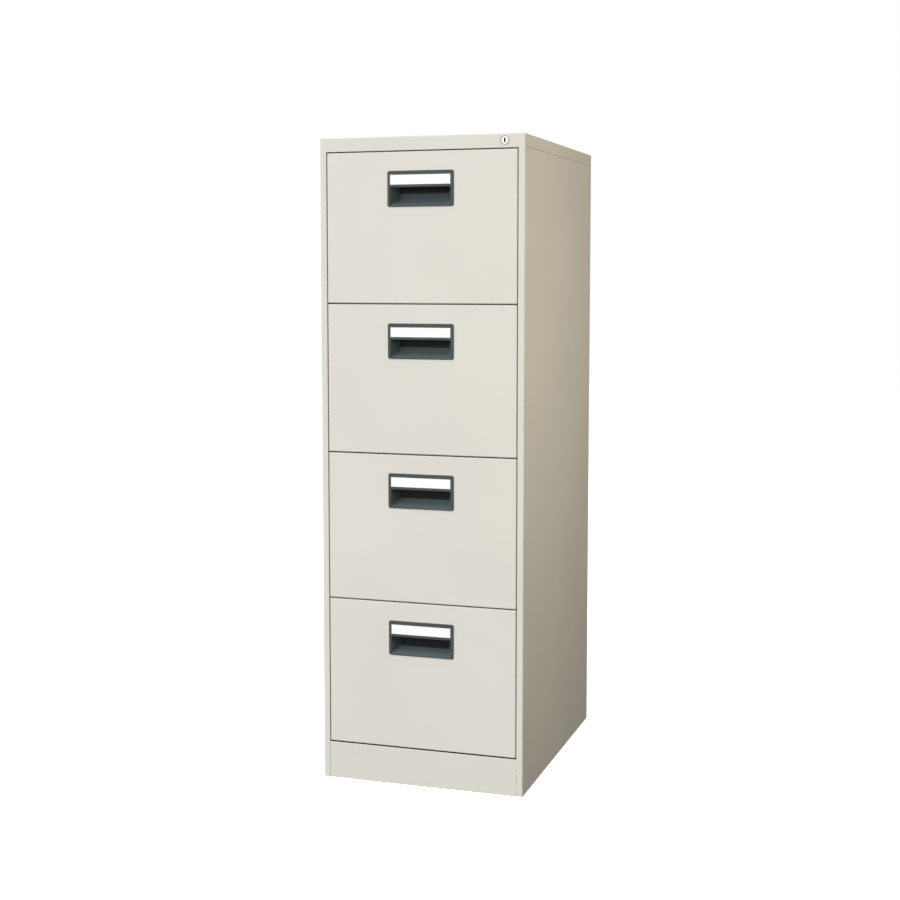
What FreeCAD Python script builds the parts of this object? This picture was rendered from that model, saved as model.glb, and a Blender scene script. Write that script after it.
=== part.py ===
import FreeCAD, Part
import math
import os

import Sketcher

# Four-drawer steel filing cabinet for B4 papers, in millimetres.
# +Z is up, +X is to the right of someone who faces the drawers, the drawers open towards -Y,
# and the origin is the middle of the footprint on the floor.

# Driving sizes

SIZES = {
    # whole cabinet
    "cabinet_width": 455,
    "cabinet_depth": 620,
    "cabinet_height": 1400,
    "drawer_count": 4,
    "trim_proud": 1.5,
    # sheet steel
    "panel_sheet": 0.8,
    "frame_sheet": 1.2,
    "panel_bend": 2,
    # face of the cabinet
    "fascia_height": 29,
    "cap_skirt": 26,
    "cap_wrap": 3,
    "plinth_height": 80.4,
    "side_flange": 14,
    "side_return": 18,
    "seam_gap": 0.4,
    "edge_return": 14,
    "drawer_gap": 2.6,
    "side_gap": 2,
    # inner frame
    "post_depth": 18.2,
    "post_width": 30,
    "post_lip": 8,
    "stretcher_height": 18,
    "stretcher_depth": 16,
    # drawer front and its inner sheet
    "front_depth": 22,
    "liner_return": 12,
    "handle_drop": 40.1,
    # moulded handle
    "bezel_width": 147.6,
    "bezel_height": 75.7,
    "bezel_corner": 4.5,
    "bezel_edge": 0.7,
    "bezel_overlap": 1.2,
    "housing_play": 0.3,
    "moulding_wall": 2.2,
    "card_wall": 2,
    "recess_width": 136,
    "recess_height": 38.3,
    "recess_rim": 2.7,
    "recess_depth": 30,
    "recess_floor_rise": 12,
    "recess_side_draft": 12,
    "hook_rise": 14,
    "lip_depth": 5,
    "lip_height": 5.8,
    "lip_round": 1.5,
    # paper card in the handle
    "card_width": 134,
    "card_height": 20.5,
    "card_thick": 0.5,
    "card_sunk": 0.5,
    "card_play": 0.2,
    # drawer tray
    "tray_length": 540,
    "tray_height": 250,
    "tray_lift": 14,
    "tray_rim": 8,
    "tray_flange": 12,
    "slot_width": 6,
    "slot_front": 70,
    "slot_rear": 12,
    # file follower
    "follower_sheet": 1,
    "follower_height": 190,
    "follower_foot": 45,
    "follower_brace": 14,
    "follower_side_play": 2,
    "follower_rest": 5,
    "follower_play": 0.3,
    "guide_length": 30,
    "guide_width": 18,
    # telescopic roller slide
    "slide_space": 13.7,
    "slide_setback": 5.5,
    "rail_length": 530,
    "rail_depth": 5.6,
    "rail_sheet": 1.2,
    "rail_lift": 70,
    "roller_radius": 13.6,
    "roller_side_play": 0.5,
    "roller_pitch": 221,
    "rolling_gap": 0.3,
    "running_play": 0.05,
    "cradle_sheet": 1.6,
    "cradle_strip": 5,
    "cradle_end": 10,
    # lock
    "lock_inset": 44,
    "lock_drop": 13.5,
    "lock_ring_radius": 9.25,
    "lock_barrel_radius": 8,
    "lock_barrel_length": 17,
    "lock_plug_radius": 6,
    "lock_ring_bevel": 0.6,
    "keyway_width": 2.4,
    "keyway_height": 8,
    "keyway_depth": 9,
    "cam_radius": 8,
    "cam_sheet": 2,
    "cam_hub_radius": 5,
    "cam_pin_radius": 2,
    "cam_pin_play": 0.5,
    # lock bar
    "bar_sheet": 2,
    "bar_width": 13.5,
    "bar_front_play": 1,
    "bar_rear_play": 1,
    "bar_side_play": 1,
    "bar_foot": 150,
    "bar_bridge": 2.5,
    "tooth_height": 9,
    "tooth_reach": 11,
    "tooth_drop": 2,
    "catch_lift": 222,
    "catch_height": 8,
    "catch_reach": 11,
    "catch_sheet": 1.2,
    "catch_foot": 12,
    "catch_play": 2,
    "stud_width": 5,
    "stud_head_width": 8,
    "stud_head": 0.8,
    "stud_play": 0.3,
    "stud_lift": 180,
    # levelling feet
    "foot_inset_x": 60,
    "foot_inset_y": 48,
    "foot_pad_radius": 18,
    "foot_pad_height": 8,
    "foot_stem_radius": 5,
    "foot_stem_length": 48,
    "bracket_lift": 22,
    "bracket_sheet": 2,
    "bracket_width": 44,
    "bracket_nut_radius": 8.5,
    "bracket_nut_height": 8,
}

TOLERANCE = 0.01

doc = FreeCAD.newDocument("FilingCabinet")
sheet = doc.addObject("Spreadsheet::Sheet", "Dims")
for row, (alias, size) in enumerate(SIZES.items(), start=1):
    sheet.set("A%d" % row, alias)
    sheet.set("B%d" % row, str(size))
    sheet.setAlias("B%d" % row, alias)
doc.recompute()


# Places worked out from the driving sizes, as expressions that stay tied to the sheet

HALF_WIDTH = "(Dims.cabinet_width / 2)"
HALF_DEPTH = "(Dims.cabinet_depth / 2)"
FRONT = "(Dims.trim_proud - Dims.cabinet_depth / 2)"
FLANGE_EDGE = "(Dims.cabinet_width / 2 - Dims.side_flange)"
SIDE_TOP = "(Dims.cabinet_height - Dims.cap_skirt)"
FASCIA_BOTTOM = "(Dims.cabinet_height - Dims.fascia_height)"
PITCH = (
    "((Dims.cabinet_height - Dims.fascia_height - Dims.plinth_height - Dims.drawer_gap)"
    " / Dims.drawer_count)"
)
FRONT_HEIGHT = f"({PITCH} - Dims.drawer_gap)"
FRONT_HALF = f"({FLANGE_EDGE} - Dims.side_gap)"
FRONT_REAR = f"({FRONT} + Dims.front_depth)"
POST_FACE = "(Dims.cabinet_width / 2 - Dims.panel_sheet - Dims.post_depth)"
TRAY_HALF = f"({POST_FACE} - Dims.slide_space)"
TRAY_FRONT = FRONT_REAR
TRAY_REAR = f"({TRAY_FRONT} + Dims.tray_length)"
TRAY_FLOOR = "(Dims.tray_lift + Dims.panel_sheet)"
SLIDE_FRONT = f"({TRAY_FRONT} + Dims.slide_setback)"
SLIDE_MIDDLE = f"({SLIDE_FRONT} + Dims.rail_length / 2)"
WINDOW_HALF = "(Dims.roller_radius + Dims.rolling_gap)"
RAIL_HALF = f"({WINDOW_HALF} + Dims.rail_sheet)"
CRADLE_MIDDLE = f"({TRAY_HALF} + Dims.slide_space / 2)"
BEZEL_BOTTOM = f"({FRONT_HEIGHT} - Dims.handle_drop - Dims.bezel_height)"
RECESS_BOTTOM = f"({BEZEL_BOTTOM} + Dims.recess_rim)"
RECESS_TOP = f"({RECESS_BOTTOM} + Dims.recess_height)"
CARD_BOTTOM = f"({RECESS_TOP} + Dims.lip_height)"
BEZEL_FACE = f"({FRONT} - Dims.trim_proud)"
LOCK_LINE = f"({HALF_WIDTH} - Dims.lock_inset)"
LOCK_HEIGHT = "(Dims.cabinet_height - Dims.lock_drop)"
BARREL_REAR = f"({FRONT} + Dims.lock_barrel_length)"
BAR_FRONT = f"({FRONT_REAR} + Dims.bar_front_play)"
BAR_REAR = f"({BAR_FRONT} + Dims.bar_sheet)"
BAR_INNER = f"({POST_FACE} + Dims.bar_side_play)"
POST_FRONT = f"({BAR_REAR} + Dims.bar_rear_play)"
POST_REAR = f"({SLIDE_FRONT} + Dims.rail_length)"
CAM_ARM = "(Dims.cam_radius * sqrt(0.5))"
BAR_TRAVEL = "(2 * Dims.cam_radius * sqrt(0.5))"
BAR_SHOULDER = f"({SIDE_TOP} - Dims.panel_bend - {BAR_TRAVEL} - Dims.bar_side_play)"
STUD_LINE = f"({BAR_INNER} + Dims.bar_width / 2)"
STUD_HEIGHTS = ["(Dims.bar_foot + Dims.stud_lift)", f"({LOCK_HEIGHT} - Dims.stud_lift)"]


# Drawing helpers

def number(text):
    """The number that an expression gives with the sizes as they stand."""
    return float(sheet.evalExpression(text))


PLANES = {
    "XY_Plane": ("z", 1),
    "XZ_Plane": ("y", -1),
    "YZ_Plane": ("x", 1),
}


def settled(feature):
    """Recomputes the document and stops where the new feature has failed."""
    doc.recompute()
    if "Invalid" in feature.State or feature.Shape.isNull():
        raise RuntimeError(f"{feature.Name} failed: {feature.State}")
    return feature


def new_body(label):
    """An empty body whose label is the name of its file."""
    body = doc.addObject("PartDesign::Body", label)
    body.Label = label
    return body


def origin_plane(body, role):
    """One of the body's own origin planes."""
    for feature in body.Origin.OriginFeatures:
        if feature.Role == role:
            return feature
    raise ValueError(role)


def new_sketch(body, name, role, place="0"):
    """A sketch flat on one of the body's planes, moved along that plane's axis to a place."""
    sketch = body.newObject("Sketcher::SketchObject", f"{body.Name}_{name}")
    sketch.AttachmentSupport = [(origin_plane(body, role), "")]
    sketch.MapMode = "FlatFace"
    sign = PLANES[role][1]
    sketch.setExpression("AttachmentOffset.Base.z", f"{sign} * ({place})")
    return sketch


def hold(sketch, kind, geometry, point, text):
    """Ties one point's distance from the sketch origin to an expression."""
    index = sketch.addConstraint(Sketcher.Constraint(kind, -1, 1, geometry, point, number(text)))
    sketch.setExpression(f"Constraints[{index}]", text)


def outline(sketch, corners):
    """A closed outline of straight lines through corners given as pairs of expressions."""
    points = [FreeCAD.Vector(number(across), number(up), 0) for across, up in corners]
    first = sketch.GeometryCount
    for index, start in enumerate(points):
        end = points[(index + 1) % len(points)]
        sketch.addGeometry(Part.LineSegment(start, end), False)
    for index in range(len(points)):
        following = first + (index + 1) % len(points)
        sketch.addConstraint(Sketcher.Constraint("Coincident", first + index, 2, following, 1))
    for index, (across, up) in enumerate(corners):
        hold(sketch, "DistanceX", first + index, 1, across)
        hold(sketch, "DistanceY", first + index, 1, up)


def rectangle(sketch, left, right, bottom, top):
    """A rectangle between four places given as expressions."""
    outline(sketch, [(left, bottom), (right, bottom), (right, top), (left, top)])


def square(sketch, across, up, width):
    """A square about a centre."""
    rectangle(sketch, f"{across} - {width} / 2", f"{across} + {width} / 2",
              f"{up} - {width} / 2", f"{up} + {width} / 2")


def circle(sketch, across, up, radius):
    """A circle with its centre and radius given as expressions."""
    centre = FreeCAD.Vector(number(across), number(up), 0)
    geometry = sketch.addGeometry(Part.Circle(centre, FreeCAD.Vector(0, 0, 1), number(radius)), False)
    hold(sketch, "DistanceX", geometry, 3, across)
    hold(sketch, "DistanceY", geometry, 3, up)
    index = sketch.addConstraint(Sketcher.Constraint("Radius", geometry, number(radius)))
    sketch.setExpression(f"Constraints[{index}]", radius)


def hexagon(sketch, across, up, radius):
    """A hexagon about a centre, with its corners at a radius."""
    corners = []
    for step in range(6):
        angle = math.radians(60 * step)
        corners.append((f"{across} + {math.cos(angle):.6f} * {radius}",
                        f"{up} + {math.sin(angle):.6f} * {radius}"))
    outline(sketch, corners)


def welded(label, bodies):
    """Bodies that are welded into one piece, each still a solid of its own."""
    piece = doc.addObject("Part::Compound", label)
    piece.Label = label
    piece.Links = bodies
    return settled(piece)


def normal_sign(sketch):
    """The way the sketch faces along its axis, +1 or -1."""
    role = sketch.AttachmentSupport[0][0].Role
    return PLANES[role][1]


def pad(body, name, sketch, length, towards=1):
    """Adds material from a sketch, towards the plus or minus end of its axis, or 0 for both ways."""
    feature = body.newObject("PartDesign::Pad", f"{body.Name}_{name}")
    feature.Profile = sketch
    feature.setExpression("Length", length)
    if towards == 0:
        feature.SideType = "Symmetric"
    else:
        feature.Reversed = towards != normal_sign(sketch)
    return settled(feature)


def pocket(body, name, sketch, length, towards=1):
    """Cuts from a sketch, towards the plus or minus end of its axis, or 0 for both ways."""
    before = body.Tip.Shape.Volume
    feature = body.newObject("PartDesign::Pocket", f"{body.Name}_{name}")
    feature.Profile = sketch
    feature.setExpression("Length", length)
    if towards == 0:
        feature.SideType = "Symmetric"
    else:
        feature.Reversed = towards == normal_sign(sketch)
    settled(feature)
    if feature.Shape.Volume > before - TOLERANCE:
        raise RuntimeError(f"{feature.Name} cuts nothing")
    return feature


def lies_in(box, planes):
    """Whether a bounding box lies wholly in the given planes, such as y=-300."""
    for axis, place in planes.items():
        low = getattr(box, axis.upper() + "Min")
        high = getattr(box, axis.upper() + "Max")
        if abs(low - place) > TOLERANCE or abs(high - place) > TOLERANCE:
            return False
    return True


def edges_in(shape, **planes):
    """Names of the edges that lie in the given planes."""
    return [f"Edge{index}" for index, edge in enumerate(shape.Edges, start=1)
            if lies_in(edge.BoundBox, planes)]


def faces_in(shape, **planes):
    """Names of the faces that lie in the given planes."""
    return [f"Face{index}" for index, face in enumerate(shape.Faces, start=1)
            if lies_in(face.BoundBox, planes)]


def fillet(body, name, edges, radius):
    """Rounds the named edges of the body's tip."""
    base = body.Tip
    feature = body.newObject("PartDesign::Fillet", f"{body.Name}_{name}")
    feature.Base = (base, sorted(set(edges)))
    feature.setExpression("Radius", radius)
    return settled(feature)


def chamfer(body, name, edges, size):
    """Bevels the named edges of the body's tip."""
    base = body.Tip
    feature = body.newObject("PartDesign::Chamfer", f"{body.Name}_{name}")
    feature.Base = (base, sorted(set(edges)))
    feature.setExpression("Size", size)
    return settled(feature)


def folded(body, name, open_faces, wall):
    """Turns the solid tip into sheet of one thickness, open at the named faces."""
    base = body.Tip
    feature = body.newObject("PartDesign::Thickness", f"{body.Name}_{name}")
    feature.Base = (base, sorted(set(open_faces)))
    feature.Mode = "Skin"
    feature.Join = "Arc"
    feature.Reversed = True
    feature.setExpression("Value", wall)
    return settled(feature)


def mirrored(body, name):
    """Repeats the whole body on the other side of the cabinet's middle plane."""
    feature = body.newObject("PartDesign::Mirrored", f"{body.Name}_{name}")
    feature.TransformMode = "Whole shape"
    feature.MirrorPlane = (origin_plane(body, "YZ_Plane"), [""])
    body.Tip = feature
    return settled(feature)


def stacked(body, name, spacing, count):
    """Repeats the whole body upwards at a steady spacing."""
    feature = body.newObject("PartDesign::LinearPattern", f"{body.Name}_{name}")
    feature.TransformMode = "Whole shape"
    feature.Direction = (origin_axis(body, "Z_Axis"), [""])
    feature.Mode = "Spacing"
    feature.setExpression("Offset", spacing)
    feature.setExpression("Occurrences", count)
    body.Tip = feature
    return settled(feature)


def origin_axis(body, role):
    """One of the body's own origin axes."""
    return origin_plane(body, role)


def turned(body, name, sketch, role):
    """Turns a sketch about one of the body's axes."""
    feature = body.newObject("PartDesign::Revolution", f"{body.Name}_{name}")
    feature.Profile = sketch
    feature.ReferenceAxis = (origin_axis(body, role), [""])
    feature.Angle = 360
    return settled(feature)


def tapered(body, name, kind, near, far):
    """Adds or cuts a block whose front and rear rectangles differ, each given from its own place."""
    before = body.Tip.Shape.Volume
    feature = body.newObject(f"PartDesign::{kind}", f"{body.Name}_{name}")
    place, left, right, bottom, top = near
    feature.setExpression("Ymin", place)
    feature.setExpression("Xmin", left)
    feature.setExpression("Xmax", right)
    feature.setExpression("Zmin", bottom)
    feature.setExpression("Zmax", top)
    place, left, right, bottom, top = far
    feature.setExpression("Ymax", place)
    feature.setExpression("X2min", left)
    feature.setExpression("X2max", right)
    feature.setExpression("Z2min", bottom)
    feature.setExpression("Z2max", top)
    settled(feature)
    if abs(feature.Shape.Volume - before) < TOLERANCE:
        raise RuntimeError(f"{feature.Name} changes nothing")
    return feature


# Outer panels

def side_panel(label, side):
    """One side of the cabinet: a pan with its face outwards and a flange turned in all round."""
    body = new_body(label)
    plan = new_sketch(body, "plan", "XY_Plane")
    outer = f"{side} * {HALF_WIDTH}"
    inner = f"{side} * {FLANGE_EDGE}"
    rectangle(plan, outer, inner, FRONT, HALF_DEPTH)
    block = pad(body, "block", plan, SIDE_TOP)
    bends = edges_in(block.Shape, x=number(outer), y=number(FRONT))
    bends += edges_in(block.Shape, x=number(outer), y=number(HALF_DEPTH))
    bends += edges_in(block.Shape, x=number(outer), z=number(SIDE_TOP))
    rounded = fillet(body, "bends", bends, "Dims.panel_bend")
    folded(body, "sheet", faces_in(rounded.Shape, x=number(inner)), "Dims.panel_sheet")
    lip = new_sketch(body, "lip_plan", "XY_Plane")
    lip_outer = f"{side} * ({FLANGE_EDGE} + Dims.panel_sheet)"
    rectangle(lip, inner, lip_outer, FRONT, f"{FRONT} + Dims.side_return")
    pad(body, "lip", lip, FASCIA_BOTTOM)
    notch = new_sketch(body, "notch_outline", "YZ_Plane", f"{side} * {HALF_WIDTH}")
    rectangle(notch, f"{FRONT} - 1", f"{FRONT} + Dims.cap_wrap", f"{FASCIA_BOTTOM}", f"{SIDE_TOP} + 1")
    pocket(body, "notch", notch, "2 * Dims.side_flange", towards=0)
    return body


def top_cap():
    """The lid: a pan over the whole top, deeper in front where its skirt is the lock fascia."""
    body = new_body("top_cap")
    plan = new_sketch(body, "plan", "XY_Plane", FASCIA_BOTTOM)
    rectangle(plan, f"-{HALF_WIDTH}", HALF_WIDTH, FRONT, HALF_DEPTH)
    block = pad(body, "block", plan, "Dims.fascia_height")
    top = SIZES["cabinet_height"]
    rounded = fillet(body, "bends", edges_in(block.Shape, z=top), "Dims.panel_bend")
    folded(body, "sheet", faces_in(rounded.Shape, z=number(FASCIA_BOTTOM)), "Dims.panel_sheet")
    trim = new_sketch(body, "trim_outline", "YZ_Plane")
    rectangle(trim, f"{FRONT} + Dims.cap_wrap", f"{HALF_DEPTH} + 1", f"{FASCIA_BOTTOM} - 1", SIDE_TOP)
    pocket(body, "trim", trim, "Dims.cabinet_width + 2", towards=0)
    seat = new_sketch(body, "seat_plan", "XY_Plane", SIDE_TOP)
    inset = "(Dims.panel_sheet / 2)"
    rectangle(seat, f"-({HALF_WIDTH} - {inset})", f"{HALF_WIDTH} - {inset}",
              f"{FRONT} + Dims.cap_wrap", f"{HALF_DEPTH} - {inset}")
    rectangle(seat, f"-({HALF_WIDTH} - Dims.edge_return)", f"{HALF_WIDTH} - Dims.edge_return",
              f"{FRONT} + Dims.side_return", f"{HALF_DEPTH} - Dims.edge_return")
    pad(body, "seat", seat, "Dims.panel_sheet")
    lip = new_sketch(body, "lip_plan", "XY_Plane", FASCIA_BOTTOM)
    rectangle(lip, f"-{FRONT_HALF}", FRONT_HALF, f"{FRONT} + Dims.panel_sheet / 2",
              f"{FRONT} + Dims.edge_return")
    pad(body, "lip", lip, "Dims.panel_sheet")
    hole = new_sketch(body, "lock_hole_outline", "XZ_Plane", FRONT)
    circle(hole, LOCK_LINE, LOCK_HEIGHT, "Dims.lock_barrel_radius")
    pocket(body, "lock_hole", hole, "2 * Dims.panel_bend")
    return body


def back_panel():
    """The back sheet, held against the inside of the side panels' rear flanges."""
    body = new_body("back_panel")
    plan = new_sketch(body, "plan", "XY_Plane", "Dims.panel_sheet")
    rear = f"({HALF_DEPTH} - Dims.panel_sheet)"
    half = f"({HALF_WIDTH} - Dims.panel_bend)"
    rectangle(plan, f"-{half}", half, f"{rear} - Dims.panel_sheet", rear)
    pad(body, "sheet", plan, f"{SIDE_TOP} - 2 * Dims.panel_sheet")
    flange = new_sketch(body, "flange_plan", "XY_Plane", "Dims.panel_sheet")
    rectangle(flange, f"-{FLANGE_EDGE}", FLANGE_EDGE, f"{rear} - Dims.edge_return", rear)
    pad(body, "flange", flange, "Dims.panel_sheet")
    return body


def base_frame():
    """The base: kick plate, floor flange and the deck under the lowest drawer, folded from one sheet."""
    body = new_body("base_frame")
    half = f"({FLANGE_EDGE} - Dims.seam_gap)"
    section = new_sketch(body, "section", "YZ_Plane")
    rear = f"({HALF_DEPTH} - 2 * Dims.panel_sheet)"
    wall = f"({FRONT} + Dims.panel_sheet)"
    deck = "(Dims.plinth_height - Dims.panel_sheet)"
    outline(section, [
        (f"{FRONT} + Dims.edge_return", "0"),
        (FRONT, "0"),
        (FRONT, "Dims.plinth_height"),
        (rear, "Dims.plinth_height"),
        (rear, deck),
        (wall, deck),
        (wall, "Dims.panel_sheet"),
        (f"{FRONT} + Dims.edge_return", "Dims.panel_sheet"),
    ])
    profile = pad(body, "profile", section, f"2 * {half}", towards=0)
    bends = edges_in(profile.Shape, y=number(FRONT), z=SIZES["plinth_height"])
    bends += edges_in(profile.Shape, y=number(FRONT), z=0)
    fillet(body, "outer_bends", bends, "Dims.panel_bend")
    inner = edges_in(body.Tip.Shape, y=number(wall), z=number(deck))
    inner += edges_in(body.Tip.Shape, y=number(wall), z=SIZES["panel_sheet"])
    fillet(body, "inner_bends", inner, "Dims.panel_bend - Dims.panel_sheet")
    wings = new_sketch(body, "wing_plan", "XY_Plane", deck)
    reach = f"({HALF_WIDTH} - Dims.panel_sheet)"
    behind = f"({FRONT} + Dims.side_return + Dims.seam_gap)"
    rectangle(wings, f"-{reach}", reach, behind, f"{HALF_DEPTH} - Dims.panel_bend")
    pad(body, "wings", wings, "Dims.panel_sheet")
    return body


# Inner frame and fixed slide rails

def frame_posts():
    """Four hat-section posts, with the square studs for the lock bar on the right front one."""
    body = new_body("frame_posts")
    reach = f"({HALF_WIDTH} - Dims.panel_sheet)"
    web = f"({POST_FACE} + Dims.frame_sheet)"
    lip = f"({reach} - Dims.frame_sheet)"
    plan = new_sketch(body, "plan", "XY_Plane", "Dims.plinth_height")
    for front in (POST_FRONT, f"({POST_REAR} - Dims.post_width)"):
        rear = f"({front} + Dims.post_width)"
        outline(plan, [
            (POST_FACE, front),
            (POST_FACE, rear),
            (reach, rear),
            (reach, f"{rear} - Dims.post_lip"),
            (lip, f"{rear} - Dims.post_lip"),
            (lip, f"{rear} - Dims.frame_sheet"),
            (web, f"{rear} - Dims.frame_sheet"),
            (web, f"{front} + Dims.frame_sheet"),
            (lip, f"{front} + Dims.frame_sheet"),
            (lip, f"{front} + Dims.post_lip"),
            (reach, f"{front} + Dims.post_lip"),
            (reach, front),
        ])
    pad(body, "posts", plan, f"{SIDE_TOP} - Dims.panel_bend - Dims.plinth_height")
    mirrored(body, "pair")
    shank = new_sketch(body, "stud_face", "XZ_Plane", POST_FRONT)
    for place in STUD_HEIGHTS:
        square(shank, STUD_LINE, place, "Dims.stud_width")
    pad(body, "stud_shank", shank, f"{POST_FRONT} - {BAR_FRONT} + Dims.stud_play", towards=-1)
    head = new_sketch(body, "stud_head_face", "XZ_Plane", f"{BAR_FRONT} - Dims.stud_play")
    for place in STUD_HEIGHTS:
        square(head, STUD_LINE, place, "Dims.stud_head_width")
    pad(body, "stud_head", head, "Dims.stud_head", towards=-1)
    return body


def frame_stretchers():
    """The channels across the front, one behind the gap above each drawer."""
    body = new_body("frame_stretchers")
    middle = f"(Dims.plinth_height + Dims.drawer_gap / 2 + {PITCH})"
    low = f"({middle} - Dims.stretcher_height / 2)"
    high = f"({middle} + Dims.stretcher_height / 2)"
    rear = f"({POST_FRONT} + Dims.stretcher_depth)"
    inside = f"({POST_FRONT} + Dims.frame_sheet)"
    section = new_sketch(body, "section", "YZ_Plane")
    outline(section, [
        (POST_FRONT, low),
        (rear, low),
        (rear, f"{low} + Dims.frame_sheet"),
        (inside, f"{low} + Dims.frame_sheet"),
        (inside, f"{high} - Dims.frame_sheet"),
        (rear, f"{high} - Dims.frame_sheet"),
        (rear, high),
        (POST_FRONT, high),
    ])
    pad(body, "channel", section, f"2 * {POST_FACE}", towards=0)
    stacked(body, "levels", PITCH, "Dims.drawer_count")
    return body


def inner_frame():
    """The posts and stretchers, welded into one frame."""
    return welded("inner_frame", [frame_posts(), frame_stretchers()])


def channel(body, web, side, lift):
    """A long channel with its web at one place, its mouth towards side and its middle at a height."""
    inside = f"({web} + {side} * Dims.rail_sheet)"
    mouth = f"({web} + {side} * Dims.rail_depth)"
    low = f"({lift} - {RAIL_HALF})"
    high = f"({lift} + {RAIL_HALF})"
    section = new_sketch(body, "section", "XZ_Plane", SLIDE_FRONT)
    outline(section, [
        (web, low),
        (mouth, low),
        (mouth, f"{low} + Dims.rail_sheet"),
        (inside, f"{low} + Dims.rail_sheet"),
        (inside, f"{high} - Dims.rail_sheet"),
        (mouth, f"{high} - Dims.rail_sheet"),
        (mouth, high),
        (web, high),
    ])
    pad(body, "rail", section, "Dims.rail_length")


def cabinet_rails():
    """The fixed members of the slides: a channel on the posts at each side of every drawer."""
    body = new_body("cabinet_rails")
    lift = "(Dims.plinth_height + Dims.drawer_gap + Dims.rail_lift)"
    channel(body, POST_FACE, -1, lift)
    mirrored(body, "pair")
    stacked(body, "levels", PITCH, "Dims.drawer_count")
    return body


# Drawer pieces, each built at the height of its drawer's own lower edge

def drawer_base(level):
    """The height of the lower edge of a drawer's front, counting the top drawer as 1."""
    return f"(Dims.plinth_height + Dims.drawer_gap + (Dims.drawer_count - {level}) * {PITCH})"


def drawer_body(kind, level):
    """An empty body placed at its drawer's height."""
    body = new_body(f"{kind}_{level}")
    body.setExpression("Placement.Base.z", drawer_base(level))
    return body


def housing_hole(body, place, depth):
    """Cuts the opening that the handle's housing passes through."""
    hole = new_sketch(body, "handle_hole_outline", "XZ_Plane", place)
    half = "(Dims.bezel_width / 2 - Dims.bezel_overlap)"
    rectangle(hole, f"-{half}", half, f"{BEZEL_BOTTOM} + Dims.bezel_overlap",
              f"{BEZEL_BOTTOM} + Dims.bezel_height - Dims.bezel_overlap")
    pocket(body, "handle_hole", hole, depth)


def drawer_front(level):
    """The drawer's face: a pan with rounded front edges and the opening for the handle."""
    body = drawer_body("drawer_front", level)
    face = new_sketch(body, "face", "XZ_Plane", FRONT)
    rectangle(face, f"-{FRONT_HALF}", FRONT_HALF, "0", FRONT_HEIGHT)
    block = pad(body, "block", face, "Dims.front_depth")
    rounded = fillet(body, "bends", edges_in(block.Shape, y=number(FRONT)), "Dims.panel_bend")
    folded(body, "sheet", faces_in(rounded.Shape, y=number(FRONT_REAR)), "Dims.panel_sheet")
    housing_hole(body, FRONT, "2 * Dims.panel_sheet")
    return body


def front_liner(level):
    """The inner sheet that closes the back of the drawer front and carries the tray."""
    body = drawer_body("front_liner", level)
    fit = "Dims.panel_sheet"
    half = f"({FRONT_HALF} - {fit})"
    face = new_sketch(body, "face", "XZ_Plane", FRONT_REAR)
    rectangle(face, f"-{half}", half, fit, f"{FRONT_HEIGHT} - {fit}")
    block = pad(body, "block", face, "Dims.liner_return", towards=-1)
    front = number(f"{FRONT_REAR} - Dims.liner_return")
    folded(body, "sheet", faces_in(block.Shape, y=front), "Dims.panel_sheet")
    housing_hole(body, f"{FRONT_REAR} - 2 * Dims.panel_sheet", "4 * Dims.panel_sheet")
    return body


def tray_pan(level):
    """The drawer's floor, sides and back, folded from one sheet."""
    body = drawer_body("tray_pan", level)
    plan = new_sketch(body, "plan", "XY_Plane", "Dims.tray_lift")
    rectangle(plan, f"-{TRAY_HALF}", TRAY_HALF, TRAY_FRONT, TRAY_REAR)
    block = pad(body, "block", plan, "Dims.tray_height")
    low = SIZES["tray_lift"]
    high = low + SIZES["tray_height"]
    bends = []
    for side in (-1, 1):
        bends += edges_in(block.Shape, x=side * number(TRAY_HALF), z=low)
    rounded = fillet(body, "bends", bends, "Dims.panel_bend")
    mouth = faces_in(rounded.Shape, z=high) + faces_in(rounded.Shape, y=number(TRAY_FRONT))
    folded(body, "sheet", mouth, "Dims.panel_sheet")
    rim = new_sketch(body, "rim_plan", "XY_Plane", "Dims.tray_lift + Dims.tray_height")
    inset = "(Dims.panel_sheet / 2)"
    outline(rim, [
        (f"-({TRAY_HALF} - {inset})", TRAY_FRONT),
        (f"-({TRAY_HALF} - Dims.tray_rim)", TRAY_FRONT),
        (f"-({TRAY_HALF} - Dims.tray_rim)", f"{TRAY_REAR} - Dims.tray_rim"),
        (f"{TRAY_HALF} - Dims.tray_rim", f"{TRAY_REAR} - Dims.tray_rim"),
        (f"{TRAY_HALF} - Dims.tray_rim", TRAY_FRONT),
        (f"{TRAY_HALF} - {inset}", TRAY_FRONT),
        (f"{TRAY_HALF} - {inset}", f"{TRAY_REAR} - {inset}"),
        (f"-({TRAY_HALF} - {inset})", f"{TRAY_REAR} - {inset}"),
    ])
    pad(body, "rim", rim, "Dims.panel_sheet", towards=-1)
    flange = new_sketch(body, "flange_face", "XZ_Plane", TRAY_FRONT)
    lift = f"{TRAY_FLOOR} + Dims.panel_bend"
    for side in (-1, 1):
        rectangle(flange, f"{side} * ({TRAY_HALF} - {inset})", f"{side} * ({TRAY_HALF} - Dims.tray_flange)",
                  lift, "Dims.tray_lift + Dims.tray_height")
    pad(body, "flange", flange, "Dims.panel_sheet")
    slot = new_sketch(body, "slot_plan", "XY_Plane", "Dims.tray_lift")
    rectangle(slot, "-Dims.slot_width / 2", "Dims.slot_width / 2",
              f"{TRAY_FRONT} + Dims.slot_front", f"{TRAY_REAR} - Dims.slot_rear")
    pocket(body, "slot", slot, "2 * Dims.panel_sheet")
    return body


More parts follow.
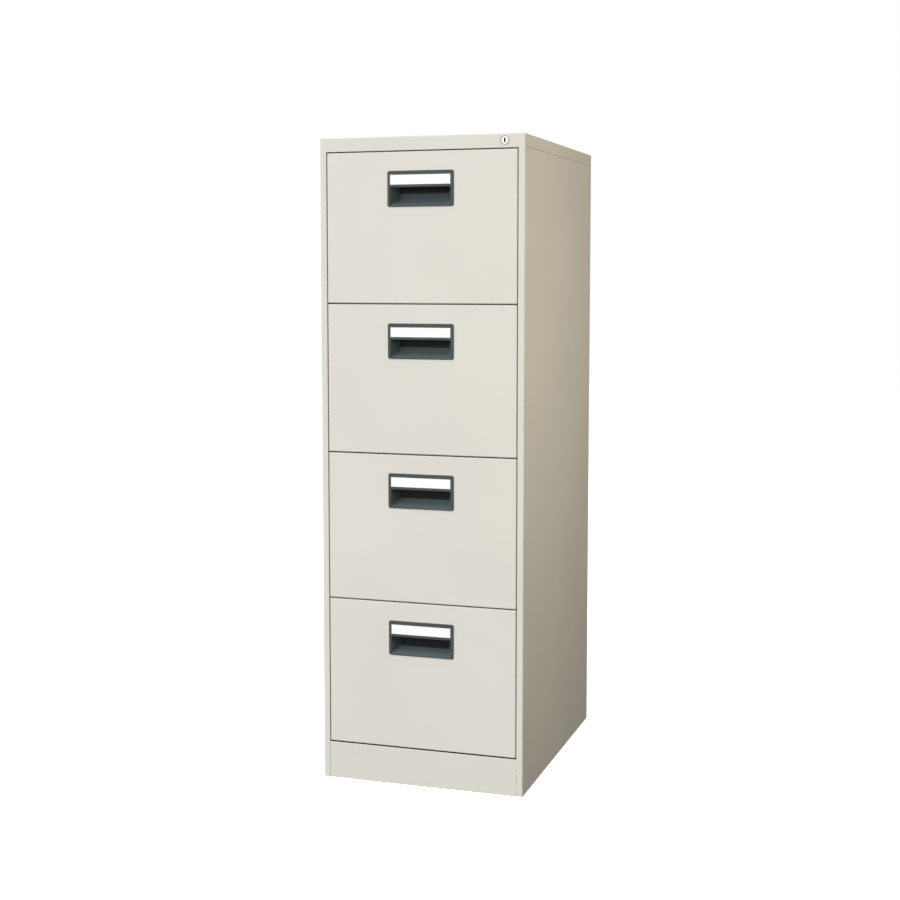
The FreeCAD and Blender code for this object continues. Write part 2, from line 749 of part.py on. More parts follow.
def tray_catch(level):
    """The bracket on the tray's side whose tab the lock bar's tooth stops."""
    body = drawer_body("tray_catch", level)
    front = f"({BAR_REAR} + Dims.catch_play)"
    plan = new_sketch(body, "plan", "XY_Plane", "Dims.catch_lift")
    outline(plan, [
        (TRAY_HALF, front),
        (f"{TRAY_HALF} + Dims.catch_reach", front),
        (f"{TRAY_HALF} + Dims.catch_reach", f"{front} + Dims.catch_sheet"),
        (f"{TRAY_HALF} + Dims.catch_sheet", f"{front} + Dims.catch_sheet"),
        (f"{TRAY_HALF} + Dims.catch_sheet", f"{front} + Dims.catch_foot"),
        (TRAY_HALF, f"{front} + Dims.catch_foot"),
    ])
    pad(body, "bracket", plan, "Dims.catch_height")
    return body


def drawer_tray(level):
    """The tray with the lock's catch welded to its right side."""
    return welded(f"drawer_tray_{level}", [tray_pan(level), tray_catch(level)])


def drawer_handle(level):
    """The moulded handle: bezel, card holder, finger recess and the space behind its lip."""
    body = drawer_body("drawer_handle", level)
    half = "(Dims.bezel_width / 2)"
    face = new_sketch(body, "bezel_face", "XZ_Plane", BEZEL_FACE)
    rectangle(face, f"-{half}", half, BEZEL_BOTTOM, f"{BEZEL_BOTTOM} + Dims.bezel_height")
    plate = pad(body, "bezel", face, "Dims.trim_proud")
    low = number(BEZEL_BOTTOM)
    high = number(f"{BEZEL_BOTTOM} + Dims.bezel_height")
    corners = []
    for side in (-1, 1):
        for height in (low, high):
            corners += edges_in(plate.Shape, x=side * number(half), z=height)
    fillet(body, "corners", corners, "Dims.bezel_corner")
    chamfer(body, "face_edge", edges_in(body.Tip.Shape, y=number(BEZEL_FACE)), "Dims.bezel_edge")

    housing = f"(Dims.bezel_width / 2 - Dims.bezel_overlap - Dims.housing_play)"
    bottom = f"({BEZEL_BOTTOM} + Dims.bezel_overlap + Dims.housing_play)"
    top = f"({BEZEL_BOTTOM} + Dims.bezel_height - Dims.bezel_overlap - Dims.housing_play)"
    wall = new_sketch(body, "card_wall_face", "XZ_Plane", FRONT)
    rectangle(wall, f"-{housing}", housing, bottom, top)
    pad(body, "card_wall", wall, "Dims.card_wall")

    hook_top = f"({RECESS_TOP} + Dims.hook_rise)"
    shell_top = f"({hook_top} + Dims.moulding_wall)"
    deep = f"({BEZEL_FACE} + Dims.recess_depth)"
    rear_half = "(Dims.recess_width / 2 - Dims.recess_side_draft)"
    rear_floor = f"({RECESS_BOTTOM} + Dims.recess_floor_rise)"
    tapered(body, "shell", "AdditiveWedge",
            (FRONT, f"-{housing}", housing, bottom, shell_top),
            (f"{deep} + Dims.moulding_wall", f"-({rear_half} + Dims.moulding_wall)",
             f"{rear_half} + Dims.moulding_wall", f"{rear_floor} - Dims.moulding_wall", shell_top))
    tapered(body, "recess", "SubtractiveWedge",
            (BEZEL_FACE, "-Dims.recess_width / 2", "Dims.recess_width / 2", RECESS_BOTTOM, RECESS_TOP),
            (deep, f"-{rear_half}", rear_half, rear_floor, RECESS_TOP))

    hook = new_sketch(body, "hook_plan", "XY_Plane", f"{RECESS_TOP} - Dims.lip_round")
    rectangle(hook, f"-{rear_half}", rear_half, f"{BEZEL_FACE} + Dims.lip_depth", deep)
    pocket(body, "hook", hook, "Dims.hook_rise + Dims.lip_round")

    card = new_sketch(body, "card_pocket_face", "XZ_Plane", BEZEL_FACE)
    rectangle(card, "-Dims.recess_width / 2", "Dims.recess_width / 2",
              f"{CARD_BOTTOM} - Dims.card_play", f"{CARD_BOTTOM} + Dims.card_height + Dims.card_play")
    pocket(body, "card_pocket", card, "Dims.card_sunk + Dims.card_thick")
    return body


def label_card(level):
    """The blank paper card, pushed to the left end of its holder."""
    body = drawer_body("label_card", level)
    face = new_sketch(body, "face", "XZ_Plane", f"{BEZEL_FACE} + Dims.card_sunk")
    left = "(Dims.card_play - Dims.recess_width / 2)"
    rectangle(face, left, f"{left} + Dims.card_width", CARD_BOTTOM, f"{CARD_BOTTOM} + Dims.card_height")
    pad(body, "paper", face, "Dims.card_thick")
    return body


def file_follower(level):
    """The sliding plate that holds files upright, guided by the slot in the tray's floor."""
    body = drawer_body("file_follower", level)
    rear = f"({TRAY_REAR} - Dims.panel_sheet - Dims.follower_rest)"
    front = f"({rear} - Dims.follower_foot)"
    low = f"({TRAY_FLOOR} + Dims.follower_play)"
    high = f"({low} + Dims.follower_height)"
    half = f"({TRAY_HALF} - Dims.panel_sheet - Dims.follower_side_play)"
    section = new_sketch(body, "section", "YZ_Plane")
    outline(section, [
        (front, low),
        (rear, low),
        (rear, f"{low} + Dims.follower_sheet"),
        (f"{front} + Dims.follower_sheet", f"{low} + Dims.follower_sheet"),
        (f"{front} + Dims.follower_sheet", f"{high} - Dims.follower_sheet"),
        (f"{front} + Dims.follower_brace", f"{high} - Dims.follower_sheet"),
        (f"{front} + Dims.follower_brace", high),
        (front, high),
    ])
    plate = pad(body, "plate", section, f"2 * {half}", towards=0)
    bends = edges_in(plate.Shape, y=number(front), z=number(low))
    bends += edges_in(plate.Shape, y=number(front), z=number(high))
    fillet(body, "bends", bends, "Dims.panel_bend")
    middle = f"({rear} - Dims.follower_foot / 2)"
    under = f"({TRAY_FLOOR} - Dims.panel_sheet - Dims.follower_play)"
    tongue = new_sketch(body, "tongue_plan", "XY_Plane", low)
    slim = "(Dims.slot_width / 2 - Dims.follower_play)"
    rectangle(tongue, f"-{slim}", slim, f"{middle} - Dims.guide_length / 2",
              f"{middle} + Dims.guide_length / 2")
    pad(body, "tongue", tongue, f"{low} - {under}", towards=-1)
    guide = new_sketch(body, "guide_plan", "XY_Plane", under)
    rectangle(guide, "-Dims.guide_width / 2", "Dims.guide_width / 2",
              f"{middle} - Dims.guide_length / 2", f"{middle} + Dims.guide_length / 2")
    pad(body, "guide", guide, "Dims.follower_sheet", towards=-1)
    return body


# Moving slide members

def drawer_rails(level):
    """The drawer's members of its slides: a channel on each side of the tray."""
    body = drawer_body("drawer_rails", level)
    channel(body, TRAY_HALF, 1, "Dims.rail_lift")
    mirrored(body, "pair")
    return body


def roller_places():
    """The rollers' distances along the cabinet, front to rear."""
    return [f"({SLIDE_MIDDLE} + {step} * Dims.roller_pitch)" for step in (-1, 0, 1)]


def slide_cradles(level):
    """The middle members: flat bars with a window for each roller, which move at half speed."""
    body = drawer_body("slide_cradles", level)
    places = roller_places()
    end = f"({WINDOW_HALF} + Dims.cradle_end)"
    edge = f"({WINDOW_HALF} + Dims.cradle_strip)"
    bar = new_sketch(body, "outline", "YZ_Plane", f"{CRADLE_MIDDLE} - Dims.cradle_sheet / 2")
    rectangle(bar, f"{places[0]} - {end}", f"{places[-1]} + {end}",
              f"Dims.rail_lift - {edge}", f"Dims.rail_lift + {edge}")
    for place in places:
        rectangle(bar, f"{place} - {WINDOW_HALF}", f"{place} + {WINDOW_HALF}",
                  f"Dims.rail_lift - {WINDOW_HALF}", f"Dims.rail_lift + {WINDOW_HALF}")
    pad(body, "bar", bar, "Dims.cradle_sheet")
    mirrored(body, "pair")
    return body


def slide_rollers(kind, level, place):
    """A left and a right roller, each through a cradle's window and between the two channels."""
    body = new_body(f"{kind}_{level}")
    body.setExpression("Placement.Base.y", place)
    body.setExpression("Placement.Base.z", f"{drawer_base(level)} + Dims.rail_lift")
    inset = "(Dims.rail_sheet + Dims.roller_side_play)"
    face = new_sketch(body, "face", "YZ_Plane", f"{TRAY_HALF} + {inset}")
    circle(face, "0", "0", "Dims.roller_radius")
    pad(body, "roller", face, f"Dims.slide_space - 2 * {inset}")
    mirrored(body, "pair")
    return body


# Lock and its bar

def lock_body():
    """The lock's fixed barrel with the bright ring on the fascia."""
    body = new_body("lock_body")
    body.setExpression("Placement.Base.x", LOCK_LINE)
    body.setExpression("Placement.Base.z", LOCK_HEIGHT)
    ring = new_sketch(body, "ring_face", "XZ_Plane", FRONT)
    circle(ring, "0", "0", "Dims.lock_ring_radius")
    disc = pad(body, "ring", ring, "Dims.trim_proud", towards=-1)
    chamfer(body, "ring_edge", edges_in(disc.Shape, y=number(BEZEL_FACE)), "Dims.lock_ring_bevel")
    barrel = new_sketch(body, "barrel_face", "XZ_Plane", FRONT)
    circle(barrel, "0", "0", "Dims.lock_barrel_radius")
    pad(body, "barrel", barrel, "Dims.lock_barrel_length")
    bore = new_sketch(body, "bore_face", "XZ_Plane", BEZEL_FACE)
    circle(bore, "0", "0", "Dims.lock_plug_radius + Dims.running_play")
    pocket(body, "bore", bore, "2 * Dims.lock_barrel_length")
    return body


def lock_plug():
    """The turning plug with its keyway."""
    body = new_body("lock_plug")
    body.setExpression("Placement.Base.x", LOCK_LINE)
    body.setExpression("Placement.Base.z", LOCK_HEIGHT)
    face = new_sketch(body, "face", "XZ_Plane", f"{BEZEL_FACE} + Dims.lock_ring_bevel / 2")
    circle(face, "0", "0", "Dims.lock_plug_radius")
    pad(body, "plug", face, f"{BARREL_REAR} - {BEZEL_FACE} - Dims.lock_ring_bevel / 2 + Dims.rolling_gap")
    keyway = new_sketch(body, "keyway_face", "XZ_Plane", BEZEL_FACE)
    rectangle(keyway, "-Dims.keyway_width / 2", "Dims.keyway_width / 2",
              "-Dims.keyway_height / 2", "Dims.keyway_height / 2")
    pocket(body, "keyway", keyway, "Dims.keyway_depth")
    return body


def lock_cam():
    """The cam on the plug's rear end, with the pin that lifts the bar."""
    body = new_body("lock_cam")
    body.setExpression("Placement.Base.x", LOCK_LINE)
    body.setExpression("Placement.Base.z", LOCK_HEIGHT)
    front = f"({BARREL_REAR} + Dims.rolling_gap)"
    hub = new_sketch(body, "hub_face", "XZ_Plane", front)
    circle(hub, "0", "0", "Dims.cam_hub_radius")
    pad(body, "hub", hub, "Dims.cam_sheet")
    arm = new_sketch(body, "arm_face", "XZ_Plane", front)
    half = "(Dims.cam_pin_radius * sqrt(0.5))"
    tip = f"({CAM_ARM} + {half})"
    outline(arm, [
        (f"-{half}", half),
        (f"-{CAM_ARM} - {half}", f"-{CAM_ARM} + {half}"),
        (f"-{tip}", f"-{tip}"),
        (f"-{CAM_ARM} + {half}", f"-{CAM_ARM} - {half}"),
        (half, f"-{half}"),
    ])
    pad(body, "arm", arm, "Dims.cam_sheet")
    pin = new_sketch(body, "pin_face", "XZ_Plane", front)
    circle(pin, f"-{CAM_ARM}", f"-{CAM_ARM}", "Dims.cam_pin_radius")
    pad(body, "pin", pin, f"{POST_FRONT} - {front}")
    return body


def bar_strip():
    """The upright strip of the lock bar, with the slots that slide on the studs."""
    body = new_body("bar_strip")
    face = new_sketch(body, "face", "XZ_Plane", BAR_FRONT)
    rectangle(face, BAR_INNER, f"{BAR_INNER} + Dims.bar_width", "Dims.bar_foot", BAR_SHOULDER)
    reach = "(Dims.stud_width / 2 + Dims.stud_play)"
    for place in STUD_HEIGHTS:
        rectangle(face, f"{STUD_LINE} - {reach}", f"{STUD_LINE} + {reach}",
                  f"{place} - {reach} - {BAR_TRAVEL}", f"{place} + {reach}")
    pad(body, "strip", face, "Dims.bar_sheet")
    return body


def bar_head():
    """The top of the lock bar: a neck beside the strip and an arm with the slot for the cam's pin."""
    body = new_body("bar_head")
    room = "(Dims.cam_pin_radius + Dims.cam_pin_play)"
    pin_height = f"({LOCK_HEIGHT} - {CAM_ARM})"
    low = f"({pin_height} - {room} - Dims.bar_bridge)"
    high = f"({pin_height} + {room} + Dims.bar_bridge)"
    neck_inner = f"({BAR_INNER} - Dims.tooth_reach)"
    neck_outer = f"({FLANGE_EDGE} - Dims.bar_side_play)"
    arm_end = f"({LOCK_LINE} - Dims.cam_radius - {room} - Dims.bar_bridge)"
    face = new_sketch(body, "face", "XZ_Plane", BAR_FRONT)
    outline(face, [
        (neck_inner, f"{BAR_SHOULDER} - Dims.bar_width"),
        (BAR_INNER, f"{BAR_SHOULDER} - Dims.bar_width"),
        (BAR_INNER, BAR_SHOULDER),
        (neck_outer, BAR_SHOULDER),
        (neck_outer, high),
        (arm_end, high),
        (arm_end, low),
        (neck_inner, low),
    ])
    rectangle(face, f"{LOCK_LINE} - Dims.cam_radius - {room}", f"{LOCK_LINE} - {CAM_ARM} + {room}",
              f"{pin_height} - {room}", f"{pin_height} + {room}")
    pad(body, "head", face, "Dims.bar_sheet")
    return body


def bar_teeth():
    """One tooth for each drawer, standing just under its catch while the lock is open."""
    body = new_body("bar_teeth")
    face = new_sketch(body, "face", "XZ_Plane", BAR_FRONT)
    for level in range(1, SIZES["drawer_count"] + 1):
        top = f"({drawer_base(level)} + Dims.catch_lift - Dims.tooth_drop)"
        rectangle(face, f"{BAR_INNER} - Dims.tooth_reach", BAR_INNER, f"{top} - Dims.tooth_height", top)
    pad(body, "teeth", face, "Dims.bar_sheet")
    return body


def lock_bar():
    """The bar that the cam lifts: its teeth then stand in front of the drawers' catches."""
    return welded("lock_bar", [bar_strip(), bar_head(), bar_teeth()])


# Levelling feet

FOOT_CORNERS = {
    "front_left": (-1, -1),
    "front_right": (1, -1),
    "rear_left": (-1, 1),
    "rear_right": (1, 1),
}


def foot_place(side, end):
    """The middle of a foot on the floor."""
    return f"{side} * ({HALF_WIDTH} - Dims.foot_inset_x)", f"{end} * ({HALF_DEPTH} - Dims.foot_inset_y)"


def foot_brackets():
    """The four corner plates with their welded nuts, joined to the side panels."""
    body = new_body("foot_brackets")
    reach = f"({HALF_WIDTH} - Dims.panel_sheet)"
    plates = new_sketch(body, "plate_plan", "XY_Plane", "Dims.bracket_lift")
    for side, end in FOOT_CORNERS.values():
        across, along = foot_place(side, end)
        rectangle(plates, f"{side} * {reach}", f"{across} - {side} * Dims.bracket_width / 2",
                  f"{along} - Dims.bracket_width / 2", f"{along} + Dims.bracket_width / 2")
    pad(body, "plates", plates, "Dims.bracket_sheet")
    nuts = new_sketch(body, "nut_plan", "XY_Plane", "Dims.bracket_lift + Dims.bracket_sheet")
    for side, end in FOOT_CORNERS.values():
        across, along = foot_place(side, end)
        hexagon(nuts, across, along, "Dims.bracket_nut_radius")
    pad(body, "nuts", nuts, "Dims.bracket_nut_height")
    bores = new_sketch(body, "bore_plan", "XY_Plane", "Dims.bracket_lift")
    for side, end in FOOT_CORNERS.values():
        across, along = foot_place(side, end)
        circle(bores, across, along, "Dims.foot_stem_radius + Dims.running_play")
    pocket(body, "bores", bores, "Dims.bracket_sheet + Dims.bracket_nut_height")
    return body


def levelling_foot(corner, side, end):
    """A foot, screwed right in: a six-sided pad that a spanner turns, under a steel stem."""
    body = new_body(f"foot_{corner}")
    across, along = foot_place(side, end)
    body.setExpression("Placement.Base.x", across)
    body.setExpression("Placement.Base.y", along)
    base = new_sketch(body, "pad_plan", "XY_Plane")
    hexagon(base, "0", "0", "Dims.foot_pad_radius")
    pad(body, "pad", base, "Dims.foot_pad_height")
    stem = new_sketch(body, "stem_plan", "XY_Plane", "Dims.foot_pad_height")
    circle(stem, "0", "0", "Dims.foot_stem_radius")
    pad(body, "stem", stem, "Dims.foot_stem_length")
    return body


# The whole cabinet

def build_cabinet():
    """Every piece of the cabinet, each as a body of its own."""
    pieces = [
        top_cap(),
        side_panel("left_side_panel", -1),
        side_panel("right_side_panel", 1),
        back_panel(),
        base_frame(),
        inner_frame(),
        cabinet_rails(),
        foot_brackets(),
        lock_body(),
        lock_plug(),
        lock_cam(),
        lock_bar(),
    ]
    for corner, (side, end) in FOOT_CORNERS.items():
        pieces.append(levelling_foot(corner, side, end))
    front, middle, rear = roller_places()
    for level in range(1, SIZES["drawer_count"] + 1):
        pieces += [
            drawer_front(level),
            front_liner(level),
            drawer_tray(level),
            drawer_handle(level),
            label_card(level),
            file_follower(level),
            drawer_rails(level),
            slide_cradles(level),
            slide_rollers("front_rollers", level, front),
            slide_rollers("middle_rollers", level, middle),
            slide_rollers("rear_rollers", level, rear),
        ]
    return pieces


def check_document():
    """Stops where any object of the document has failed."""
    for feature in doc.Objects:
        if "Invalid" in feature.State or "Error" in feature.State:
            raise RuntimeError(f"{feature.Name} failed: {feature.State}")


pieces = build_cabinet()
doc.recompute()
check_document()
for piece in pieces:
    if piece.Shape.isNull() or not piece.Shape.isValid() or not piece.Shape.Solids:
        raise RuntimeError(f"{piece.Label} has no valid solid")

os.makedirs("parts", exist_ok=True)
for piece in pieces:
    piece.Shape.exportStep(f"parts/{piece.Label}.step")
    print(piece.Label, len(piece.Shape.Solids), round(piece.Shape.Volume / 1000, 1))
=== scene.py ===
from math import radians, sin

import bmesh
import bpy
from bpy.props import FloatProperty, FloatVectorProperty, PointerProperty
from mathutils import Matrix, Vector


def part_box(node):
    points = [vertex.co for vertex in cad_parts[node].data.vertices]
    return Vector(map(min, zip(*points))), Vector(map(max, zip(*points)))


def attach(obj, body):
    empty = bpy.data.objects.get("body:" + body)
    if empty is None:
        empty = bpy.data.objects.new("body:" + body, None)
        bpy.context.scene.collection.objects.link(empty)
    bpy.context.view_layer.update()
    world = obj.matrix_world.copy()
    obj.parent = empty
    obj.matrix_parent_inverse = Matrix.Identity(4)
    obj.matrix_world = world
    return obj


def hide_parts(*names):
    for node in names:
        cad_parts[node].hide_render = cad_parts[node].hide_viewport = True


bl_info = {
    "name": "Four-drawer filing cabinet",
    "version": (1, 0, 0),
    "blender": (4, 5, 0),
    "location": "3D View > Sidebar > Cabinet",
    "description": "Dresses the model of a steel filing cabinet in sheet metal, mouldings and finishes",
    "category": "Object",
}

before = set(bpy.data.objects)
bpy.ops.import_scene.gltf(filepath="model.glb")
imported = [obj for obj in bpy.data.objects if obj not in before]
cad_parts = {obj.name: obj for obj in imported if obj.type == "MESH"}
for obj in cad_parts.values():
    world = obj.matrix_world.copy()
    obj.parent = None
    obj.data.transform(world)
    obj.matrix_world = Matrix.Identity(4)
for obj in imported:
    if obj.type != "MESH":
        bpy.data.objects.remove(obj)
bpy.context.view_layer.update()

CAP_LOW, CAP_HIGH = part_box("top_cap")
PANEL_LOW, PANEL_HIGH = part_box("right_side_panel")
FRONT = PANEL_LOW.y
HALF_WIDTH = CAP_HIGH.x
REAR = CAP_HIGH.y

LEVELS = (1, 2, 3, 4)
SIDES = {"left": -1, "right": 1}
ROLLER_ROWS = ("front", "middle", "rear")
FEET = ("front_left", "front_right", "rear_left", "rear_right")

# Folded sheets, in metres
SEAM_GAP = 0.0004
FASCIA_WRAP = 0.003
FASCIA_RETURN = 0.0135
LID_FLANGE = 0.012
LOCK_HOLE_BORDER = 0.0015
SIDE_RETURN = 0.018
FLOOR_FLANGE = 0.014
BEZEL_OVERLAP = 0.0012
GUIDE_EDGE = 0.0003

# Handles and cards
RECESS_HALF = 0.068
RECESS_FOOT = 0.0027
RECESS_HEIGHT = 0.0383
RECESS_DEPTH = 0.030
RECESS_EDGE = 0.001
FLOOR_RISE = 0.012
SIDE_DRAFT = 0.012
LIP_DEPTH = 0.005
LIP_HOLLOW = 0.014
POCKET_CORNER = 0.0008
CARD_PLAY = 0.0002
CARD_THICKNESS = 0.00025
CARD_GAP = 0.00005

# Painted light and shade inside the recess, as shares of the moulding's own, and where each begins and
# ends
# In order: a lighter copy of the moulding overall, painted shade on the rear wall under the lip,
# painted light on the floor and on the side walls, the blur of the shade's edge, and the facings that
# pick the rear wall and the floor
RECESS_PAINTED_LIGHT = 1.3
PAINTED_SHADE_TONE = 0.14
PAINTED_FLOOR_LIGHT = 1.75
PAINTED_SIDE_LIGHT = 1.35
PAINTED_SHADE_BLUR = 0.0015
REAR_FACING = (0.3, 0.8)
UP_FACING = (0.2, 0.9)

# Rollers, feet and lock
ROLLER_RIM = 0.0025
HUB_EASE = 0.0005
RIM_EASE = 0.0004
ROLLER_CHAMFER = 0.0006
STEM_ROOT = 0.001
STEM_NECK = 0.003
STEM_TAPER = 0.0008
COLLAR_EDGE = 0.0004
PLUG_EDGE = 0.0003
KEYWAY_CORNER = 0.0005

# Each lamp's place, target, size and colour, and the cosine at which the glow begins
LAMPS = {
    "key": ((-2.2, -4.4, 2.6), (0, 0, 0.8), 2.0, (1, 1, 1)),
    "fill": ((1.65, -0.33, 1.20), (0.2275, -0.33, 1.20), 0.8, (1.0, 0.90, 0.72)),
    "rear": ((-2.6, 3.4, 2.8), (0, 0, 0.8), 2.4, (1, 1, 1)),
}
GLOW_EDGE = 0.1
WHITE = (1, 1, 1, 1)
FLOOR_HALF = 12

# Steps of round shapes, how far the middle of a rounded edge lies from its faces as a share of
# its radius, and how near counts as the same place
BEND_SEGMENTS = 4
EDGE_SEGMENTS = 3
CORNER_SEGMENTS = 6
TURN_STEPS = 64
THREAD_STEPS = 24
LOCK_HOLE_STEPS = 8
MID_ARC = 0.3
SHARP_ANGLE = radians(38)
NEAR = 2e-5
MERGE = 1e-6
FORWARDS = (0, -1, 0)


# Sizes and colours that can be changed in the sidebar

class SheetSettings(bpy.types.PropertyGroup):
    """Sizes and paint of the folded sheet steel."""
    thickness: FloatProperty(
        name="Thickness", description="Thickness of the sheet", default=0.0008, unit="LENGTH")
    bend: FloatProperty(
        name="Bend", description="Outside radius of the bends", default=0.002, unit="LENGTH")
    tight_bend: FloatProperty(
        name="Tight bend", description="Outside radius of the flange edges", default=0.0011,
        unit="LENGTH")
    body_colour: FloatVectorProperty(
        name="Cabinet paint", description="Enamel on the cabinet", subtype="COLOR",
        default=(0.65, 0.629, 0.566))
    front_colour: FloatVectorProperty(
        name="Front paint", description="Enamel on the drawer fronts", subtype="COLOR",
        default=(0.66, 0.640, 0.578))
    inner_colour: FloatVectorProperty(
        name="Inner paint", description="Enamel on the trays and inner sheets", subtype="COLOR",
        default=(0.58, 0.56, 0.505))


class HandleSettings(bpy.types.PropertyGroup):
    """Sizes and colours of the moulded handle and its card."""
    corner: FloatProperty(
        name="Bezel corner", description="Radius of the bezel's outer corners", default=0.0045,
        unit="LENGTH")
    edge: FloatProperty(
        name="Edge", description="Rounding of the moulded edges", default=0.0006, unit="LENGTH")
    opening_corner: FloatProperty(
        name="Opening corner", description="Radius of the finger opening's corners",
        default=0.0035, unit="LENGTH")
    wall: FloatProperty(
        name="Wall", description="Thickness of the moulding", default=0.0015, unit="LENGTH")
    card_bow: FloatProperty(
        name="Card bow", description="How far the middle of the card stands forward",
        default=0.0003, unit="LENGTH")
    # How far the painted shade of the lip's shadow reaches down the recess's rear wall, on the top
    # drawer and then further on each next drawer
    painted_shade_top: FloatProperty(
        name="Shade, top drawer",
        description="How far down the recess's rear wall the shade reaches", default=0.012,
        unit="LENGTH")
    painted_shade_step: FloatProperty(
        name="Shade, each drawer",
        description="How much further down it reaches on the next drawer", default=0.005,
        unit="LENGTH")
    plastic_colour: FloatVectorProperty(
        name="Plastic", description="Colour of the moulding", subtype="COLOR",
        default=(0.044, 0.057, 0.059))
    card_colour: FloatVectorProperty(
        name="Card", description="Colour of the blank card", subtype="COLOR",
        default=(0.93, 0.93, 0.92))


class FollowerSettings(bpy.types.PropertyGroup):
    """Sizes of the sliding plates that hold the files upright."""
    thickness: FloatProperty(
        name="Thickness", description="Thickness of the plate", default=0.001, unit="LENGTH")
    bend: FloatProperty(
        name="Bend", description="Outside radius of the bends", default=0.002, unit="LENGTH")
    brace: FloatProperty(
        name="Brace", description="Depth of the flange along the top", default=0.014,
        unit="LENGTH")
    border: FloatProperty(
        name="Border", description="Flat border round the pressed panel", default=0.022,
        unit="LENGTH")
    press: FloatProperty(
        name="Press", description="Depth of the pressed panel", default=0.003, unit="LENGTH")
    tongue: FloatProperty(
        name="Tongue", description="Width of the tongue in the slot", default=0.0054,
        unit="LENGTH")
    guide_drop: FloatProperty(
        name="Guide drop", description="How far the guide reaches below the plate's foot",
        default=0.0024, unit="LENGTH")


class FootSettings(bpy.types.PropertyGroup):
    """Sizes of the levelling feet."""
    pad_height: FloatProperty(
        name="Pad height", description="Height of the six-sided pad", default=0.008, unit="LENGTH")
    stem: FloatProperty(
        name="Stem", description="Radius of the stem over its thread", default=0.005,
        unit="LENGTH")
    pitch: FloatProperty(
        name="Pitch", description="Pitch of the thread", default=0.0015, unit="LENGTH")
    thread_depth: FloatProperty(
        name="Thread depth", description="Depth of the thread", default=0.0007, unit="LENGTH")
    edge: FloatProperty(
        name="Edge", description="Rounding of the pad's edges", default=0.0008, unit="LENGTH")


class LockSettings(bpy.types.PropertyGroup):
    """Sizes and colour of the lock's face."""
    rim: FloatProperty(
        name="Rim", description="Width of the raised rim", default=0.0011, unit="LENGTH")
    sunk: FloatProperty(
        name="Sunk", description="Depth of the face behind the rim", default=0.0022, unit="LENGTH")
    barrel: FloatProperty(
        name="Barrel", description="Radius of the barrel behind the fascia", default=0.008,
        unit="LENGTH")
    play: FloatProperty(
        name="Play", description="Gap round the plug", default=0.00005, unit="LENGTH", precision=5)
    keyway_width: FloatProperty(
        name="Keyway width", description="Width of the slot for the key", default=0.0024,
        unit="LENGTH")
    keyway_height: FloatProperty(
        name="Keyway height", description="Height of the slot for the key", default=0.008,
        unit="LENGTH")
    keyway_mouth: FloatProperty(
        name="Keyway mouth", description="Slope round the slot for the key", default=0.0007,
        unit="LENGTH")
    keyway_depth: FloatProperty(
        name="Keyway depth", description="Depth of the slot for the key", default=0.009,
        unit="LENGTH")
    nickel_colour: FloatVectorProperty(
        name="Nickel", description="Colour of the plating", subtype="COLOR",
        default=(0.83, 0.81, 0.77))


class SlideSettings(bpy.types.PropertyGroup):
    """Sizes and colours of the slides and feet."""
    hub: FloatProperty(
        name="Hub", description="Radius of a roller's hub", default=0.0045, unit="LENGTH")
    dish: FloatProperty(
        name="Dish", description="Depth of the hollow in a roller's side", default=0.0012,
        unit="LENGTH")
    zinc_colour: FloatVectorProperty(
        name="Zinc", description="Colour of the zinc plating", subtype="COLOR",
        default=(0.70, 0.71, 0.72))
    nylon_colour: FloatVectorProperty(
        name="Nylon", description="Colour of the rollers", subtype="COLOR",
        default=(0.74, 0.72, 0.64))


class StageSettings(bpy.types.PropertyGroup):
    """Camera, lights and floor."""
    place: FloatVectorProperty(
        name="Camera place", description="Where the camera stands", subtype="TRANSLATION",
        default=(1.0495, -3.3592, 1.1060))
    pitch: FloatProperty(
        name="Pitch", description="Tilt of the camera below the horizon", subtype="ANGLE",
        default=radians(5.06))
    yaw: FloatProperty(
        name="Yaw", description="Turn of the camera towards the left", subtype="ANGLE",
        default=radians(17.88))
    lens: FloatProperty(name="Lens", description="Focal length in millimetres", default=60.80)
    rise: FloatProperty(name="Rise", description="Vertical shift of the lens", default=-0.0433)
    key: FloatProperty(
        name="Key", description="Power of the key light", subtype="POWER", default=40.0)
    fill: FloatProperty(
        name="Fill", description="Power of the warm fill light", subtype="POWER", default=16.0)
    rear: FloatProperty(
        name="Rear", description="Power of the light behind", subtype="POWER", default=90.0)
    ambient: FloatProperty(
        name="Ambient", description="Strength of the surroundings all round", default=0.075)
    glow: FloatProperty(
        name="Glow", description="Strength of the bright part of the surroundings", default=1.98)
    glow_from: FloatVectorProperty(
        name="Glow from", description="Where the bright part of the surroundings lies",
        subtype="DIRECTION", default=(-0.42, -0.69, 0.59))
    floor_glow: FloatProperty(
        name="Floor glow", description="How far the floor is lit from below", default=0.78)
    floor_colour: FloatVectorProperty(
        name="Floor", description="Colour of the floor", subtype="COLOR",
        default=(0.55, 0.55, 0.545))


SETTINGS = {
    "cabinet_sheet": SheetSettings,
    "cabinet_handle": HandleSettings,
    "cabinet_follower": FollowerSettings,
    "cabinet_foot": FootSettings,
    "cabinet_lock": LockSettings,
    "cabinet_slide": SlideSettings,
    "cabinet_stage": StageSettings,
}


# Mesh tools

def middle_of(node):
    """The middle of a CAD node's box."""
    low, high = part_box(node)
    return (low + high) / 2


def block(bm, low, high):
    """Adds a box between two corners, and returns its corners."""
    low, high = Vector(low), Vector(high)
    corners = bmesh.ops.create_cube(bm, size=1.0)["verts"]
    bmesh.ops.scale(bm, vec=high - low, verts=corners)
    bmesh.ops.translate(bm, vec=(low + high) / 2, verts=corners)
    return corners


def on_planes(element, planes):
    """Whether every corner of an edge or face lies on all the given planes."""
    return all(
        abs(getattr(corner.co, axis) - place) < NEAR
        for corner in element.verts for axis, place in planes.items())


def edges_on(bm, **planes):
    """The edges that lie on all the given planes, such as x=0.2."""
    return [edge for edge in bm.edges if on_planes(edge, planes)]


